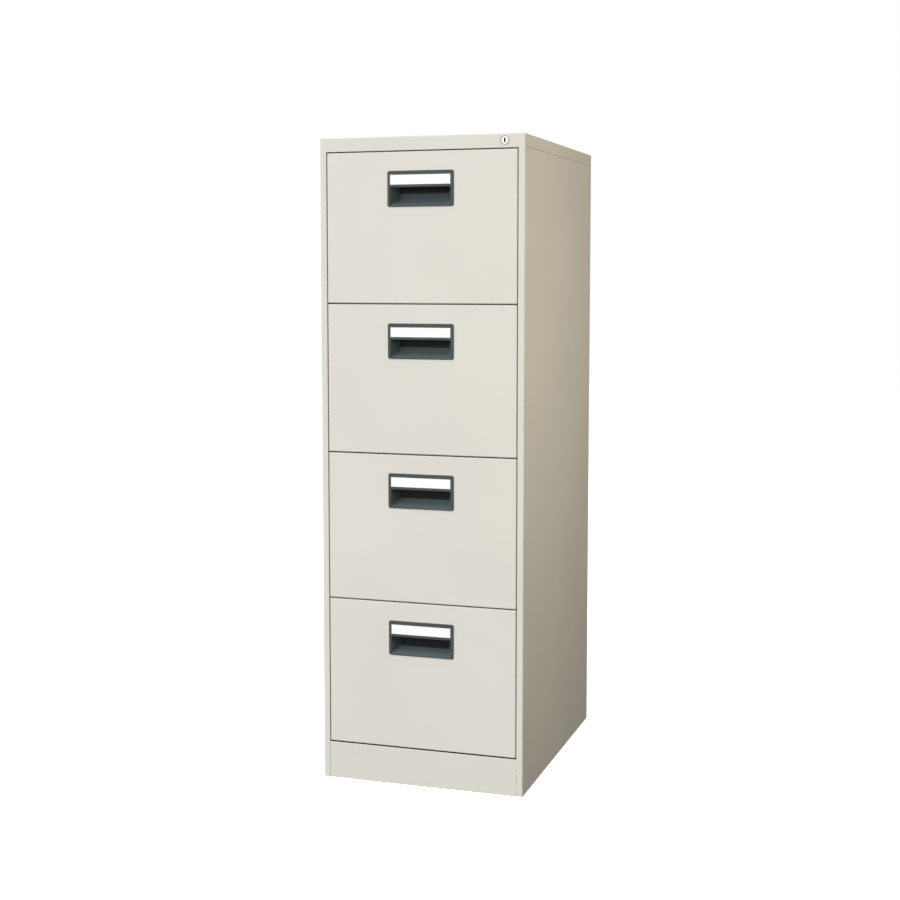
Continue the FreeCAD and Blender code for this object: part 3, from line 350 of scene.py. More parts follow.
def faces_on(bm, **planes):
    """The faces that lie on all the given planes."""
    return [face for face in bm.faces if on_planes(face, planes)]


def faces_where(bm, test):
    """The faces whose middle passes a test."""
    return [face for face in bm.faces if test(face.calc_center_median())]


def edges_at(corners):
    """The edges that meet at any of the corners."""
    return list({edge for corner in corners for edge in corner.link_edges})


def within(place, across, up, slack=0.0):
    """Whether a place is inside an upright rectangle, given as two pairs of limits."""
    return (across[0] - slack < place.x < across[1] + slack
            and up[0] - slack < place.z < up[1] + slack)


def stand_up(bm, corners, place):
    """Turns a flat shape upright, square to Y, and moves it to a place."""
    bmesh.ops.rotate(bm, cent=(0, 0, 0), matrix=Matrix.Rotation(radians(90), 3, "X"), verts=corners)
    bmesh.ops.translate(bm, vec=place, verts=corners)


def open_up(bm, faces):
    """Deletes faces, leaving an open shell."""
    bmesh.ops.delete(bm, geom=faces, context="FACES")


def round_edges(bm, edges, radius, segments=BEND_SEGMENTS):
    """Rounds edges as a bend or a moulded edge does."""
    bmesh.ops.bevel(bm, geom=edges, offset=radius, offset_type="OFFSET", affect="EDGES",
                    segments=segments, profile=0.5, material=-1)


def slice_at(bm, axis, place):
    """Cuts every face along a plane square to an axis."""
    normal = Vector((axis == "x", axis == "y", axis == "z"))
    bmesh.ops.bisect_plane(bm, geom=bm.verts[:] + bm.edges[:] + bm.faces[:], dist=NEAR,
                           plane_co=normal * place, plane_no=normal)


def slice_round(bm, depth, across, up):
    """Cuts round an upright rectangle, and returns its faces in the sheet at a depth."""
    for axis, places in (("x", across), ("z", up)):
        for place in places:
            slice_at(bm, axis, place)
    return [face for face in faces_on(bm, y=depth) if within(face.calc_center_median(), across, up)]


def grown_from(bm, edges):
    """Extrudes free edges on the spot, and returns the new corners."""
    grown = bmesh.ops.extrude_edge_only(bm, edges=edges)["geom"]
    return [part for part in grown if isinstance(part, bmesh.types.BMVert)]


def turn_in(bm, edges, step):
    """Folds a flange from free edges by a step."""
    bmesh.ops.translate(bm, vec=step, verts=grown_from(bm, edges))


def face_outwards(bm, towards=FORWARDS):
    """Makes the faces agree, with the outermost one in a direction facing that way."""
    bmesh.ops.recalc_face_normals(bm, faces=bm.faces[:])
    bm.normal_update()
    direction = Vector(towards)
    outermost = max(bm.faces, key=lambda face: (round(face.calc_center_median().dot(direction), 5),
                                                abs(face.normal.dot(direction))))
    if outermost.normal.dot(direction) < 0:
        bmesh.ops.reverse_faces(bm, faces=bm.faces[:])


def wall(bm, thickness, towards=FORWARDS):
    """Turns an open shell's faces outwards, and gives it its thickness inwards."""
    face_outwards(bm, towards)
    bmesh.ops.solidify(bm, geom=bm.faces[:], thickness=thickness)


def folded_profile(bm, points, start, end, bend):
    """A sheet folded along a line of (y, z) points and run along X, with its bends rounded."""
    corners = [bm.verts.new((start, y, z)) for y, z in points]
    edges = [bm.edges.new(pair) for pair in zip(corners, corners[1:])]
    turn_in(bm, edges, (end - start, 0, 0))
    folds = []
    for y, z in points[1:-1]:
        folds += edges_on(bm, y=y, z=z)
    round_edges(bm, folds, bend)


def outline(bm, half_width, low, high, radius, depth, middle=0.0):
    """The edges of an upright rounded rectangle, open, at a depth along Y."""
    corners = bmesh.ops.create_grid(bm, x_segments=1, y_segments=1, size=0.5)["verts"]
    bmesh.ops.scale(bm, vec=(2 * half_width, high - low, 1), verts=corners)
    stand_up(bm, corners, (middle, depth, (low + high) / 2))
    rounded = bmesh.ops.bevel(bm, geom=corners, offset=radius, offset_type="OFFSET",
                              affect="VERTICES", segments=CORNER_SEGMENTS, profile=0.5,
                              material=-1)["verts"]
    sheet = rounded[0].link_faces[0]
    edges = list(sheet.edges)
    bmesh.ops.delete(bm, geom=[sheet], context="FACES_ONLY")
    return edges


def circle(bm, centre, radius, depth, segments=TURN_STEPS):
    """The edges of an upright circle at a depth along Y."""
    ring = bmesh.ops.create_circle(bm, segments=segments, radius=radius)["verts"]
    stand_up(bm, ring, (centre.x, depth, centre.z))
    return edges_at(ring)


def lofted(bm, loops, closed=False):
    """Joins outlines one to the next, and closes the last one if asked."""
    for one, other in zip(loops, loops[1:]):
        bmesh.ops.bridge_loops(bm, edges=one + other)
    if closed:
        bmesh.ops.holes_fill(bm, edges=loops[-1], sides=0)


def fill_front(bm, edges):
    """Fills the front between outlines that lie one inside another."""
    bmesh.ops.triangle_fill(bm, edges=edges, use_beauty=True, use_dissolve=False, normal=FORWARDS)


def turned(bm, profile, centre, axis, steps=TURN_STEPS):
    """Spins a line of (radius, along) points about an axis into a closed round piece."""
    axis = Vector(axis)
    out = Vector((1, 0, 0)) if axis.z else Vector((0, 0, 1))
    corners = [bm.verts.new(Vector(centre) + out * radius + axis * along)
               for radius, along in profile]
    edges = [bm.edges.new(pair) for pair in zip(corners, corners[1:])]
    bmesh.ops.spin(bm, geom=corners + edges, cent=centre, axis=axis, dvec=(0, 0, 0),
                   angle=radians(360), steps=steps, use_merge=True, use_duplicate=False)
    bmesh.ops.remove_doubles(bm, verts=bm.verts[:], dist=MERGE)


def finish(name, bm, body, node, coat, others=None):
    """Makes the mesh a piece that rides on a body, stands for a CAD node and has its finishes."""
    mesh = bpy.data.meshes.new(name)
    others = others or {}
    for number, faces in enumerate(others.values(), start=1):
        for face in faces:
            face.material_index = number
    bm.to_mesh(mesh)
    bm.free()
    mesh.shade_smooth()
    mesh.set_sharp_from_angle(angle=SHARP_ANGLE)
    for kind in (coat, *others):
        mesh.materials.append(finish_of(kind))
    piece = bpy.data.objects.new(name, mesh)
    bpy.context.scene.collection.objects.link(piece)
    even = piece.modifiers.new("Even shading", "WEIGHTED_NORMAL")
    even.keep_sharp = True
    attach(piece, body)
    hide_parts(node)


def keep(coat, *nodes):
    """Leaves the shape of CAD nodes as it is, and gives them smooth bends and a finish."""
    for node in nodes:
        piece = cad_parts[node]
        piece.data.materials.clear()
        piece.data.materials.append(finish_of(coat))
        piece.modifiers.new("Smooth bends", "NODES").node_group = smooth_bends()


def smooth_bends():
    """The node group that joins a loose mesh and shades its bends smoothly."""
    group = bpy.data.node_groups.get("Smooth bends")
    if group:
        return group
    group = bpy.data.node_groups.new("Smooth bends", "GeometryNodeTree")
    for way in ("INPUT", "OUTPUT"):
        group.interface.new_socket("Geometry", in_out=way, socket_type="NodeSocketGeometry")
    start = add(group, "NodeGroupInput")
    joined = add(group, "GeometryNodeMergeByDistance",
                 {"Geometry": start.outputs[0], "Distance": MERGE})
    angle = add(group, "GeometryNodeInputMeshEdgeAngle")
    soft = add(group, "FunctionNodeCompare",
               {"A": angle.outputs["Unsigned Angle"], "B": SHARP_ANGLE}, operation="LESS_THAN")
    faces = add(group, "GeometryNodeSetShadeSmooth",
                {"Geometry": joined.outputs[0], "Shade Smooth": True}, domain="FACE")
    edges = add(group, "GeometryNodeSetShadeSmooth",
                {"Geometry": faces.outputs[0], "Shade Smooth": soft.outputs[0]}, domain="EDGE")
    add(group, "NodeGroupOutput", {"Geometry": edges.outputs[0]})
    return group


# Finishes

def add(tree, kind, inputs=None, **settings):
    """Adds a node, sets what is given and links what comes from other nodes."""
    node = tree.nodes.new(kind)
    for name, value in settings.items():
        setattr(node, name, value)
    for name, value in (inputs or {}).items():
        if isinstance(name, int):
            target = node.inputs[name]
        else:
            target = next(socket for socket in node.inputs
                          if socket.enabled and name in (socket.name, socket.identifier))
        if isinstance(value, bpy.types.NodeSocket):
            tree.links.new(value, target)
        else:
            target.default_value = value
    return node


def new_finish(name, **constants):
    """A material, its tree and its shader, whose constant values are set."""
    material = bpy.data.materials.new(name)
    material.use_nodes = True
    tree = material.node_tree
    tree.nodes.clear()
    shader = add(tree, "ShaderNodeBsdfPrincipled", constants)
    add(tree, "ShaderNodeOutputMaterial", {"Surface": shader.outputs[0]})
    return material, tree, shader


def link_looks(tree, shader, colour, roughness, relief):
    """Links patterns for the colour, the roughness and the relief to a shader."""
    tree.links.new(colour, shader.inputs["Base Color"])
    tree.links.new(roughness, shader.inputs["Roughness"])
    tree.links.new(relief, shader.inputs["Normal"])


def object_place(tree, stretch=(1, 1, 1), move=(0, 0, 0)):
    """Object coordinates, stretched along the axes or moved."""
    source = add(tree, "ShaderNodeTexCoord").outputs["Object"]
    return add(tree, "ShaderNodeMapping",
               {"Vector": source, "Location": move, "Scale": stretch}).outputs[0]


def noise(tree, place, scale, detail=2.0, roughness=0.5):
    """Noise over the piece."""
    return add(tree, "ShaderNodeTexNoise", {"Vector": place, "Scale": scale, "Detail": detail,
                                            "Roughness": roughness}).outputs["Fac"]


def ranged(tree, value, given, wanted):
    """Maps a value from one range to another."""
    return add(tree, "ShaderNodeMapRange", {
        "Value": value, "From Min": given[0], "From Max": given[1],
        "To Min": wanted[0], "To Max": wanted[1]}).outputs[0]


def between(tree, pattern, low, high):
    """Maps a pattern from 0..1 to a range."""
    return ranged(tree, pattern, (0, 1), (low, high))


def times(tree, one, other):
    """One value times another."""
    return add(tree, "ShaderNodeMath", {0: one, 1: other}, operation="MULTIPLY").outputs[0]


def scaled(colour, factor):
    """A colour made darker or lighter."""
    return [min(factor * channel, 1) for channel in colour]


def tinted(tree, pattern, colour, low, high):
    """A colour made a little darker and lighter by a pattern."""
    node = add(tree, "ShaderNodeValToRGB", {"Fac": pattern})
    for stop, place, factor in zip(node.color_ramp.elements, (0.3, 0.7), (low, high)):
        stop.position = place
        stop.color = scaled(colour, factor) + [1]
    return node.outputs["Color"]


def bumped(tree, height, strength, distance, under=None):
    """Surface relief from a pattern."""
    inputs = {"Height": height, "Strength": strength, "Distance": distance}
    if under:
        inputs["Normal"] = under
    return add(tree, "ShaderNodeBump", inputs).outputs[0]


def enamel(name, colour):
    """Baked enamel on steel: fine orange peel, a slow drift of tone, patches of softer gloss."""
    material, tree, shader = new_finish(
        name, **{"IOR": 1.5, "Coat Weight": 0.12, "Coat Roughness": 0.25})
    place = object_place(tree)
    drift = noise(tree, place, 3.5, detail=3)
    peel = noise(tree, place, 420, detail=3, roughness=0.6)
    specks = noise(tree, place, 2600, detail=1)
    link_looks(tree, shader, tinted(tree, drift, colour, 0.975, 1.02),
               between(tree, noise(tree, place, 14, detail=4), 0.36, 0.47),
               bumped(tree, peel, 0.10, 0.0004, bumped(tree, specks, 0.04, 0.0001)))
    return material


def plated(name, colour, stretch=(1, 1, 1), roughness=(0.28, 0.42)):
    """Zinc or nickel plating over drawn steel: faint draw lines, clouds and fine grain."""
    material, tree, shader = new_finish(name, Metallic=0.6)
    clouds = noise(tree, object_place(tree), 30, detail=5, roughness=0.65)
    lines = noise(tree, object_place(tree, stretch), 900, detail=2)
    link_looks(tree, shader, tinted(tree, clouds, colour, 0.88, 1.06),
               between(tree, lines, *roughness), bumped(tree, lines, 0.08, 0.0002))
    return material


def turned_nickel(name, colour):
    """Bright nickel with the fine rings that turning leaves round the lock's axis."""
    material, tree, shader = new_finish(name, Metallic=0.75)
    centred = object_place(tree, move=-middle_of("lock_body"))
    rings = add(tree, "ShaderNodeTexWave",
                {"Vector": centred, "Scale": 700.0, "Distortion": 0.6, "Detail": 1.0},
                wave_type="RINGS", rings_direction="Y").outputs["Fac"]
    tarnish = noise(tree, centred, 260, detail=4, roughness=0.6)
    link_looks(tree, shader, tinted(tree, tarnish, colour, 0.93, 1.04),
               between(tree, tarnish, 0.24, 0.34), bumped(tree, rings, 0.10, 0.00005))
    return material


def moulded(name, colour, gloss=0.45):
    """Moulded plastic with a fine spark-eroded grain and a slight sheen."""
    material, tree, shader = new_finish(name, **{"IOR": 1.49, "Specular IOR Level": gloss})
    place = object_place(tree)
    flow = noise(tree, place, 12, detail=3)
    grain = noise(tree, place, 2200, detail=3, roughness=0.7)
    link_looks(tree, shader, tinted(tree, flow, colour, 0.93, 1.06),
               between(tree, grain, 0.42, 0.56), bumped(tree, grain, 0.22, 0.00015))
    return material


def recess_painted_shading(name, colour, painted_shade_low):
    """The plastic inside a recess: a lighter copy of the moulding with less specular, painted shade
    under the lip, and painted light on the floor and on the side walls.
    """
    material = moulded(name, scaled(colour, RECESS_PAINTED_LIGHT), gloss=0.12)
    tree = material.node_tree
    shader = tree.nodes["Principled BSDF"]
    plain = shader.inputs["Base Color"].links[0].from_socket
    source = add(tree, "ShaderNodeTexCoord")
    place = add(tree, "ShaderNodeSeparateXYZ", {"Vector": source.outputs["Object"]})
    facing = add(tree, "ShaderNodeSeparateXYZ", {"Vector": source.outputs["Normal"]})
    across, along, up = facing.outputs
    # Painted shade: rear-facing faces above a height are darkened, with a blurred edge, as the lip's
    # shadow
    edge = (painted_shade_low - PAINTED_SHADE_BLUR, painted_shade_low + PAINTED_SHADE_BLUR)
    rear = ranged(tree, times(tree, along, along), REAR_FACING, (0, 1))
    above = ranged(tree, place.outputs["Z"], edge, (0, 1))
    shade = between(tree, times(tree, rear, above), 1, PAINTED_SHADE_TONE)
    # Painted light: faces that look up, such as the floor, and faces that look sideways are made
    # lighter
    painted_floor_light = ranged(tree, up, UP_FACING, (1, PAINTED_FLOOR_LIGHT))
    sides = between(tree, times(tree, across, across), 1, PAINTED_SIDE_LIGHT)
    factor = times(tree, times(tree, shade, painted_floor_light), sides)
    tone = add(tree, "ShaderNodeVectorMath", {0: plain, "Scale": factor}, operation="SCALE")
    tree.links.new(tone.outputs["Vector"], shader.inputs["Base Color"])


def card_stock(name, colour):
    """Smooth white card with a faint fibre."""
    material, tree, shader = new_finish(name, **{"IOR": 1.45, "Specular IOR Level": 0.3})
    fibre = noise(tree, object_place(tree, (1, 1, 2.5)), 1500, detail=4, roughness=0.7)
    link_looks(tree, shader, tinted(tree, fibre, colour, 0.985, 1.01),
               between(tree, fibre, 0.55, 0.68), bumped(tree, fibre, 0.15, 0.0001))
    return material


def nylon(name, colour):
    """Natural nylon: slightly clear, with turning marks."""
    material, tree, shader = new_finish(
        name, **{"IOR": 1.53, "Subsurface Weight": 0.15, "Subsurface Scale": 0.002})
    clouds = noise(tree, object_place(tree), 90, detail=3)
    marks = noise(tree, object_place(tree, (8, 1, 1)), 400, detail=2)
    link_looks(tree, shader, tinted(tree, clouds, colour, 0.94, 1.03),
               between(tree, marks, 0.35, 0.5), bumped(tree, marks, 0.12, 0.0002))
    return material


def finish_of(kind):
    """The named finish, made the first time that it is asked for."""
    found = bpy.data.materials.get(kind)
    if found:
        return found
    scene = bpy.context.scene
    sheet, handle, slide = scene.cabinet_sheet, scene.cabinet_handle, scene.cabinet_slide
    nickel = scene.cabinet_lock.nickel_colour
    makers = {
        "cabinet_enamel": lambda: enamel(kind, sheet.body_colour),
        "front_enamel": lambda: enamel(kind, sheet.front_colour),
        "inner_enamel": lambda: enamel(kind, sheet.inner_colour),
        "zinc_plate": lambda: plated(kind, slide.zinc_colour, (1, 0.02, 1)),
        "frame_zinc": lambda: plated(kind, (0.68, 0.65, 0.58), roughness=(0.5, 0.62)),
        "bright_nickel": lambda: turned_nickel(kind, nickel),
        # The collar's rim: nickel darkened to under half, partly satin plating and partly painted shade
        # round the lock's face
        "satin_nickel": lambda: plated(kind, scaled(nickel, 0.45)),
        # Near-black steel put on the lock's well and keyway and on the base's deck as painted shade
        "dark_steel": lambda: plated(kind, (0.07, 0.07, 0.065), roughness=(0.45, 0.6)),
        "dark_moulding": lambda: moulded(kind, handle.plastic_colour),
        "white_card": lambda: card_stock(kind, handle.card_colour),
        "natural_nylon": lambda: nylon(kind, slide.nylon_colour),
        "foot_plate": lambda: plated(kind, scaled(slide.zinc_colour, 0.8), (1, 1, 0.05)),
    }
    return makers[kind]()


# Outer sheets

class CABINET_OT_top_cap(bpy.types.Operator):
    """Folds the lid with its deep front skirt, the fascia that holds the lock"""
    bl_idname = "cabinet.top_cap"
    bl_label = "Top cap"

    def execute(self, context):
        sheet = context.scene.cabinet_sheet
        side_top = PANEL_HIGH.z
        bm = bmesh.new()
        block(bm, (-HALF_WIDTH, FRONT, CAP_LOW.z), (HALF_WIDTH, REAR, CAP_HIGH.z))
        open_up(bm, faces_on(bm, z=CAP_LOW.z))
        bends = edges_on(bm, z=CAP_HIGH.z)
        for x in (-HALF_WIDTH, HALF_WIDTH):
            bends += edges_on(bm, x=x, y=FRONT) + edges_on(bm, x=x, y=REAR)
        round_edges(bm, bends, sheet.bend)
        slice_at(bm, "z", side_top)
        slice_at(bm, "y", FRONT + FASCIA_WRAP)
        open_up(bm, faces_where(bm, lambda at: at.z < side_top and at.y > FRONT + FASCIA_WRAP))
        round_lock_hole(bm, context.scene.cabinet_lock.barrel)
        turn_in_skirt(bm, [edge for edge in edges_on(bm, z=side_top) if edge.is_boundary],
                      2 * sheet.bend)
        turn_in(bm, edges_on(bm, z=CAP_LOW.z, y=FRONT), (0, FASCIA_RETURN, 0))
        wall(bm, sheet.thickness, towards=(0, 0, 1))
        finish("lid_sheet", bm, "root", "top_cap", "cabinet_enamel")
        return {"FINISHED"}


def turn_in_skirt(bm, edges, bend_room):
    """Turns the skirt's lower edge inwards as a level flange that is mitred at the corners."""
    for corner in grown_from(bm, edges):
        place = corner.co
        if abs(place.x) > HALF_WIDTH - bend_room:
            place.x -= LID_FLANGE if place.x > 0 else -LID_FLANGE
        if place.y > REAR - bend_room:
            place.y -= LID_FLANGE


def round_lock_hole(bm, radius):
    """Opens the round hole for the lock's barrel in the fascia."""
    middle = middle_of("lock_body")
    reach = radius + LOCK_HOLE_BORDER
    across, up = ((place - reach, place + reach) for place in (middle.x, middle.z))
    open_up(bm, slice_round(bm, FRONT, across, up))
    square = [edge for edge in edges_on(bm, y=FRONT) if edge.is_boundary
              and all(within(corner.co, across, up, NEAR) for corner in edge.verts)]
    split = bmesh.ops.subdivide_edges(bm, edges=square, cuts=LOCK_HOLE_STEPS - 1)["geom_split"]
    square = [part for part in split if isinstance(part, bmesh.types.BMEdge) and part.is_boundary]
    hole = circle(bm, middle, radius, FRONT, segments=4 * LOCK_HOLE_STEPS)
    bmesh.ops.bridge_loops(bm, edges=square + hole)


class CABINET_OT_side_panels(bpy.types.Operator):
    """Folds the two side panels with their front and rear flanges"""
    bl_idname = "cabinet.side_panels"
    bl_label = "Side panels"

    def execute(self, context):
        sheet = context.scene.cabinet_sheet
        for name, side in SIDES.items():
            low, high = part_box(f"{name}_side_panel")
            outer = side * HALF_WIDTH
            inner = low.x if side > 0 else high.x
            bm = bmesh.new()
            block(bm, (low.x, FRONT, 0), (high.x, REAR, PANEL_HIGH.z))
            open_up(bm, faces_on(bm, x=inner) + faces_on(bm, z=0))
            turn_in(bm, edges_on(bm, x=inner, y=FRONT), (0, SIDE_RETURN, 0))
            round_edges(bm, edges_on(bm, x=inner, y=FRONT), sheet.tight_bend)
            bends = edges_on(bm, x=outer, y=FRONT) + edges_on(bm, x=outer, y=REAR)
            round_edges(bm, bends + edges_on(bm, x=outer, z=PANEL_HIGH.z), sheet.bend)
            slice_at(bm, "z", CAP_LOW.z)
            slice_at(bm, "y", FRONT + FASCIA_WRAP)
            behind_fascia = faces_where(bm, lambda at: at.z > CAP_LOW.z and (
                at.y < FRONT + FASCIA_WRAP
                or (at.y < FRONT + SIDE_RETURN and abs(at.x - inner) < NEAR)))
            open_up(bm, behind_fascia)
            wall(bm, sheet.thickness, towards=(side, 0, 0))
            finish(f"{name}_side_sheet", bm, "root", f"{name}_side_panel",
                   "cabinet_enamel")
        return {"FINISHED"}


class CABINET_OT_base_frame(bpy.types.Operator):
    """Folds the kick plate with its floor flange and the deck under the lowest drawer"""
    bl_idname = "cabinet.base_frame"
    bl_label = "Base"

    def execute(self, context):
        sheet = context.scene.cabinet_sheet
        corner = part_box("base_frame")[1]
        half = PANEL_LOW.x - SEAM_GAP
        bm = bmesh.new()
        folded_profile(bm, [(FRONT + FLOOR_FLANGE, 0), (FRONT, 0), (FRONT, corner.z),
                            (REAR - 2 * sheet.thickness, corner.z)], -half, half, sheet.tight_bend)
        behind = FRONT + SIDE_RETURN + SEAM_GAP
        slice_at(bm, "y", behind)
        for side in SIDES.values():
            edges = [edge for edge in edges_on(bm, x=side * half, z=corner.z)
                     if min(end.co.y for end in edge.verts) > behind - NEAR]
            turn_in(bm, edges, (side * (corner.x - half), 0, 0))
        wall(bm, sheet.thickness)
        # The deck's top takes the near-black steel as painted shade in the gap under the lowest drawer
        deck = faces_where(bm, lambda at: abs(at.z - corner.z) < 2 * sheet.thickness
                           and at.y > FRONT + sheet.tight_bend)
        finish("kick_plate", bm, "root", "base_frame", "cabinet_enamel",
               {"dark_steel": deck})
        return {"FINISHED"}


class CABINET_OT_inner_frame(bpy.types.Operator):
    """Finishes the back sheet, the posts, the stretchers and the corner brackets"""
    bl_idname = "cabinet.inner_frame"
    bl_label = "Inner frame"

    def execute(self, context):
        keep("cabinet_enamel", "back_panel")
        keep("frame_zinc", "inner_frame")
        keep("zinc_plate", "foot_brackets")
        return {"FINISHED"}


# Drawers

class CABINET_OT_drawer_fronts(bpy.types.Operator):
    """Folds the drawer fronts with the holes that the handles' housings pass through"""
    bl_idname = "cabinet.drawer_fronts"
    bl_label = "Drawer fronts"

    def execute(self, context):
        sheet = context.scene.cabinet_sheet
        for level in LEVELS:
            low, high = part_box(f"drawer_front_{level}")
            bm = bmesh.new()
            block(bm, low, high)
            open_up(bm, faces_on(bm, y=high.y))
            bends = edges_on(bm, y=low.y)
            for x in (low.x, high.x):
                bends += edges_on(bm, x=x, z=low.z) + edges_on(bm, x=x, z=high.z)
            round_edges(bm, bends, sheet.bend)
            bezel_low, bezel_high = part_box(f"drawer_handle_{level}")
            across, up = ((bezel_low[axis] + BEZEL_OVERLAP, bezel_high[axis] - BEZEL_OVERLAP)
                          for axis in (0, 2))
            open_up(bm, slice_round(bm, low.y, across, up))
            wall(bm, sheet.thickness)
            finish(f"drawer_face_{level}", bm, f"drawer_{level}", f"drawer_front_{level}",
                   "front_enamel")
        return {"FINISHED"}


class CABINET_OT_drawer_trays(bpy.types.Operator):
    """Finishes the trays and the inner sheets behind the fronts"""
    bl_idname = "cabinet.drawer_trays"
    bl_label = "Trays"

    def execute(self, context):
        for level in LEVELS:
            keep("inner_enamel", f"drawer_tray_{level}", f"front_liner_{level}")
        return {"FINISHED"}


class CABINET_OT_file_followers(bpy.types.Operator):
    """Folds the sliding plates with their pressed panel, and adds the guide under each"""
    bl_idname = "cabinet.file_followers"
    bl_label = "Followers"

    def execute(self, context):
        follower = context.scene.cabinet_follower
        for level in LEVELS:
            node = f"file_follower_{level}"
            low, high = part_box(node)
            floor = low.z + follower.guide_drop
            brace = low.y + follower.brace
            bm = bmesh.new()
            folded_profile(bm, [(high.y, floor), (low.y, floor), (low.y, high.z), (brace, high.z)],
                           low.x, high.x, follower.bend)
            panel = slice_round(bm, low.y, (low.x + follower.border, high.x - follower.border),
                                (floor + follower.border, high.z - follower.border))
            press_back(bm, panel, follower.press)
            wall(bm, follower.thickness)
            add_guide(bm, follower, node, floor)
            finish(f"follower_plate_{level}", bm, f"follower_{level}", node,
                   "inner_enamel")
        return {"FINISHED"}


def press_back(bm, faces, depth):
    """Presses part of a sheet back, with a slope round it that is twice as wide as it is deep."""
    slope = bmesh.ops.inset_region(bm, faces=faces, thickness=2 * depth,
                                   use_even_offset=True)["faces"]
    corners = {corner for face in faces for corner in face.verts}
    bmesh.ops.translate(bm, vec=(0, depth, 0), verts=list(corners))
    folds = {edge for face in slope for edge in face.edges
             if any(other not in slope for other in edge.link_faces)}
    round_edges(bm, list(folds), 0.8 * depth, EDGE_SEGMENTS)


def add_guide(bm, follower, node, floor):
    """The tongue through the tray's slot, and the wider plate that holds it down."""
    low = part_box(node)[0]
    under = [corner.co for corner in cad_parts[node].data.vertices
             if corner.co.z < low.z + NEAR]
    wide = max(place.x for place in under)
    near, far = min(place.y for place in under), max(place.y for place in under)
    top = low.z + follower.thickness
    for half, bottom, upper in ((wide, low.z, top), (follower.tongue / 2, top, floor + NEAR)):
        corners = block(bm, (-half, near, bottom), (half, far, upper))
        round_edges(bm, edges_at(corners), GUIDE_EDGE, segments=2)


class CABINET_OT_drawer_handles(bpy.types.Operator):
    """Moulds the handles: bezel, card pocket, finger recess and the space behind the lip"""
    bl_idname = "cabinet.drawer_handles"
    bl_label = "Handles"

    def execute(self, context):
        handle = context.scene.cabinet_handle
        edge = handle.edge
        for level in LEVELS:
            low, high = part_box(f"drawer_handle_{level}")
            face = low.y
            recess_top = low.z + RECESS_FOOT + RECESS_HEIGHT
            bm = bmesh.new()
            rim = [outline(bm, high.x - shrink, low.z + shrink, high.z - shrink, corner, depth)
                   for shrink, depth, corner in (
                       (0, FRONT, handle.corner), (0, face + edge, handle.corner),
                       (MID_ARC * edge, face + MID_ARC * edge, handle.corner),
                       (edge, face, handle.corner - edge))]
            lofted(bm, rim)
            pocket = card_pocket(bm, level, face, edge)
            recess = finger_recess(bm, handle, face, low.z + RECESS_FOOT, recess_top)
            fill_front(bm, rim[-1] + pocket[0] + recess[0])
            wall(bm, handle.wall)
            # Faces inside the recess take the lighter copy of the moulding with painted shade and
            # painted light
            inside = faces_where(bm, lambda at: at.y > face + edge + NEAR
                                 and at.z < recess_top + LIP_HOLLOW + RECESS_EDGE
                                 and abs(at.x) < RECESS_HALF + NEAR)
            # The painted shadow of the lip reaches further down the rear wall on each lower drawer
            painted_shade_low = recess_top - handle.painted_shade_top - (level - 1) * handle.painted_shade_step
            coat = f"recess_moulding_{level}"
            recess_painted_shading(coat, handle.plastic_colour, painted_shade_low)
            finish(f"handle_moulding_{level}", bm, f"drawer_{level}", f"drawer_handle_{level}",
                   "dark_moulding", {coat: inside})
        return {"FINISHED"}


def card_pocket(bm, level, face, edge):
    """Sinks the pocket for the card, as wide as the recess under it, and returns its rings."""
    low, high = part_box(f"label_card_{level}")
    pocket = [outline(bm, RECESS_HALF + grow, low.z - CARD_PLAY - grow, high.z + CARD_PLAY + grow,
                      POCKET_CORNER + grow, depth)
              for grow, depth in ((0.6 * edge, face), (0.15 * edge, face + 0.2 * edge),
                                  (0, face + 0.7 * edge), (0, high.y))]
    lofted(bm, pocket, closed=True)
    return pocket


def finger_recess(bm, handle, face, low, high):
    """Lofts the recess from its opening to its rear wall, and returns its rings."""
    edge, corner = handle.edge, handle.opening_corner
    lip, hollow, deep, soft = LIP_DEPTH, LIP_HOLLOW, RECESS_DEPTH, RECESS_EDGE
    # depth behind the face, extra width, how far the top goes up behind the lip, corner radius
    stations = [
        (0, edge, edge, corner + edge),
        (MID_ARC * edge, MID_ARC * edge, MID_ARC * edge, corner),
        (edge, 0, 0, corner),
        (lip - soft, 0, 0, corner),
        (lip - MID_ARC * soft, 0, MID_ARC * soft, corner),
        (lip, 0, 1.2 * soft, corner),
        (lip + 0.2 * soft, 0, hollow - soft, 3 * soft),
        (lip + 0.8 * soft, 0, hollow, 3 * soft),
        (deep - 3 * soft, 0, hollow, 4 * soft),
        (deep - soft, -soft, hollow - soft, 4 * soft),
        (deep, -3 * soft, hollow - 3 * soft, 4 * soft),
    ]
    loops = []
    for depth, grow, rise, radius in stations:
        share = depth / deep
        loops.append(outline(bm, RECESS_HALF - SIDE_DRAFT * share + grow,
                             low + FLOOR_RISE * share - grow, high + rise, radius, face + depth))
    lofted(bm, loops, closed=True)
    return loops


class CABINET_OT_label_cards(bpy.types.Operator):
    """Cuts the blank cards, each with the slight bow of paper in a holder"""
    bl_idname = "cabinet.label_cards"
    bl_label = "Cards"

    def execute(self, context):
        bow = context.scene.cabinet_handle.card_bow
        for level in LEVELS:
            low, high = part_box(f"label_card_{level}")
            middle = (low + high) / 2
            width = high.x - low.x
            bm = bmesh.new()
            corners = bmesh.ops.create_grid(bm, x_segments=32, y_segments=6, size=0.5)["verts"]
            bmesh.ops.scale(bm, vec=(width, high.z - low.z, 1), verts=corners)
            stand_up(bm, corners, (middle.x, high.y - CARD_THICKNESS - CARD_GAP, middle.z))
            for corner in bm.verts:
                across = 2 * (corner.co.x - middle.x) / width
                wave = 0.6 + 0.4 * sin(3 * across + level)
                corner.co.y -= bow * (1 - across * across) * wave
            wall(bm, CARD_THICKNESS)
            finish(f"blank_card_{level}", bm, f"drawer_{level}", f"label_card_{level}",
                   "white_card")
        return {"FINISHED"}


# Slides, feet and lock

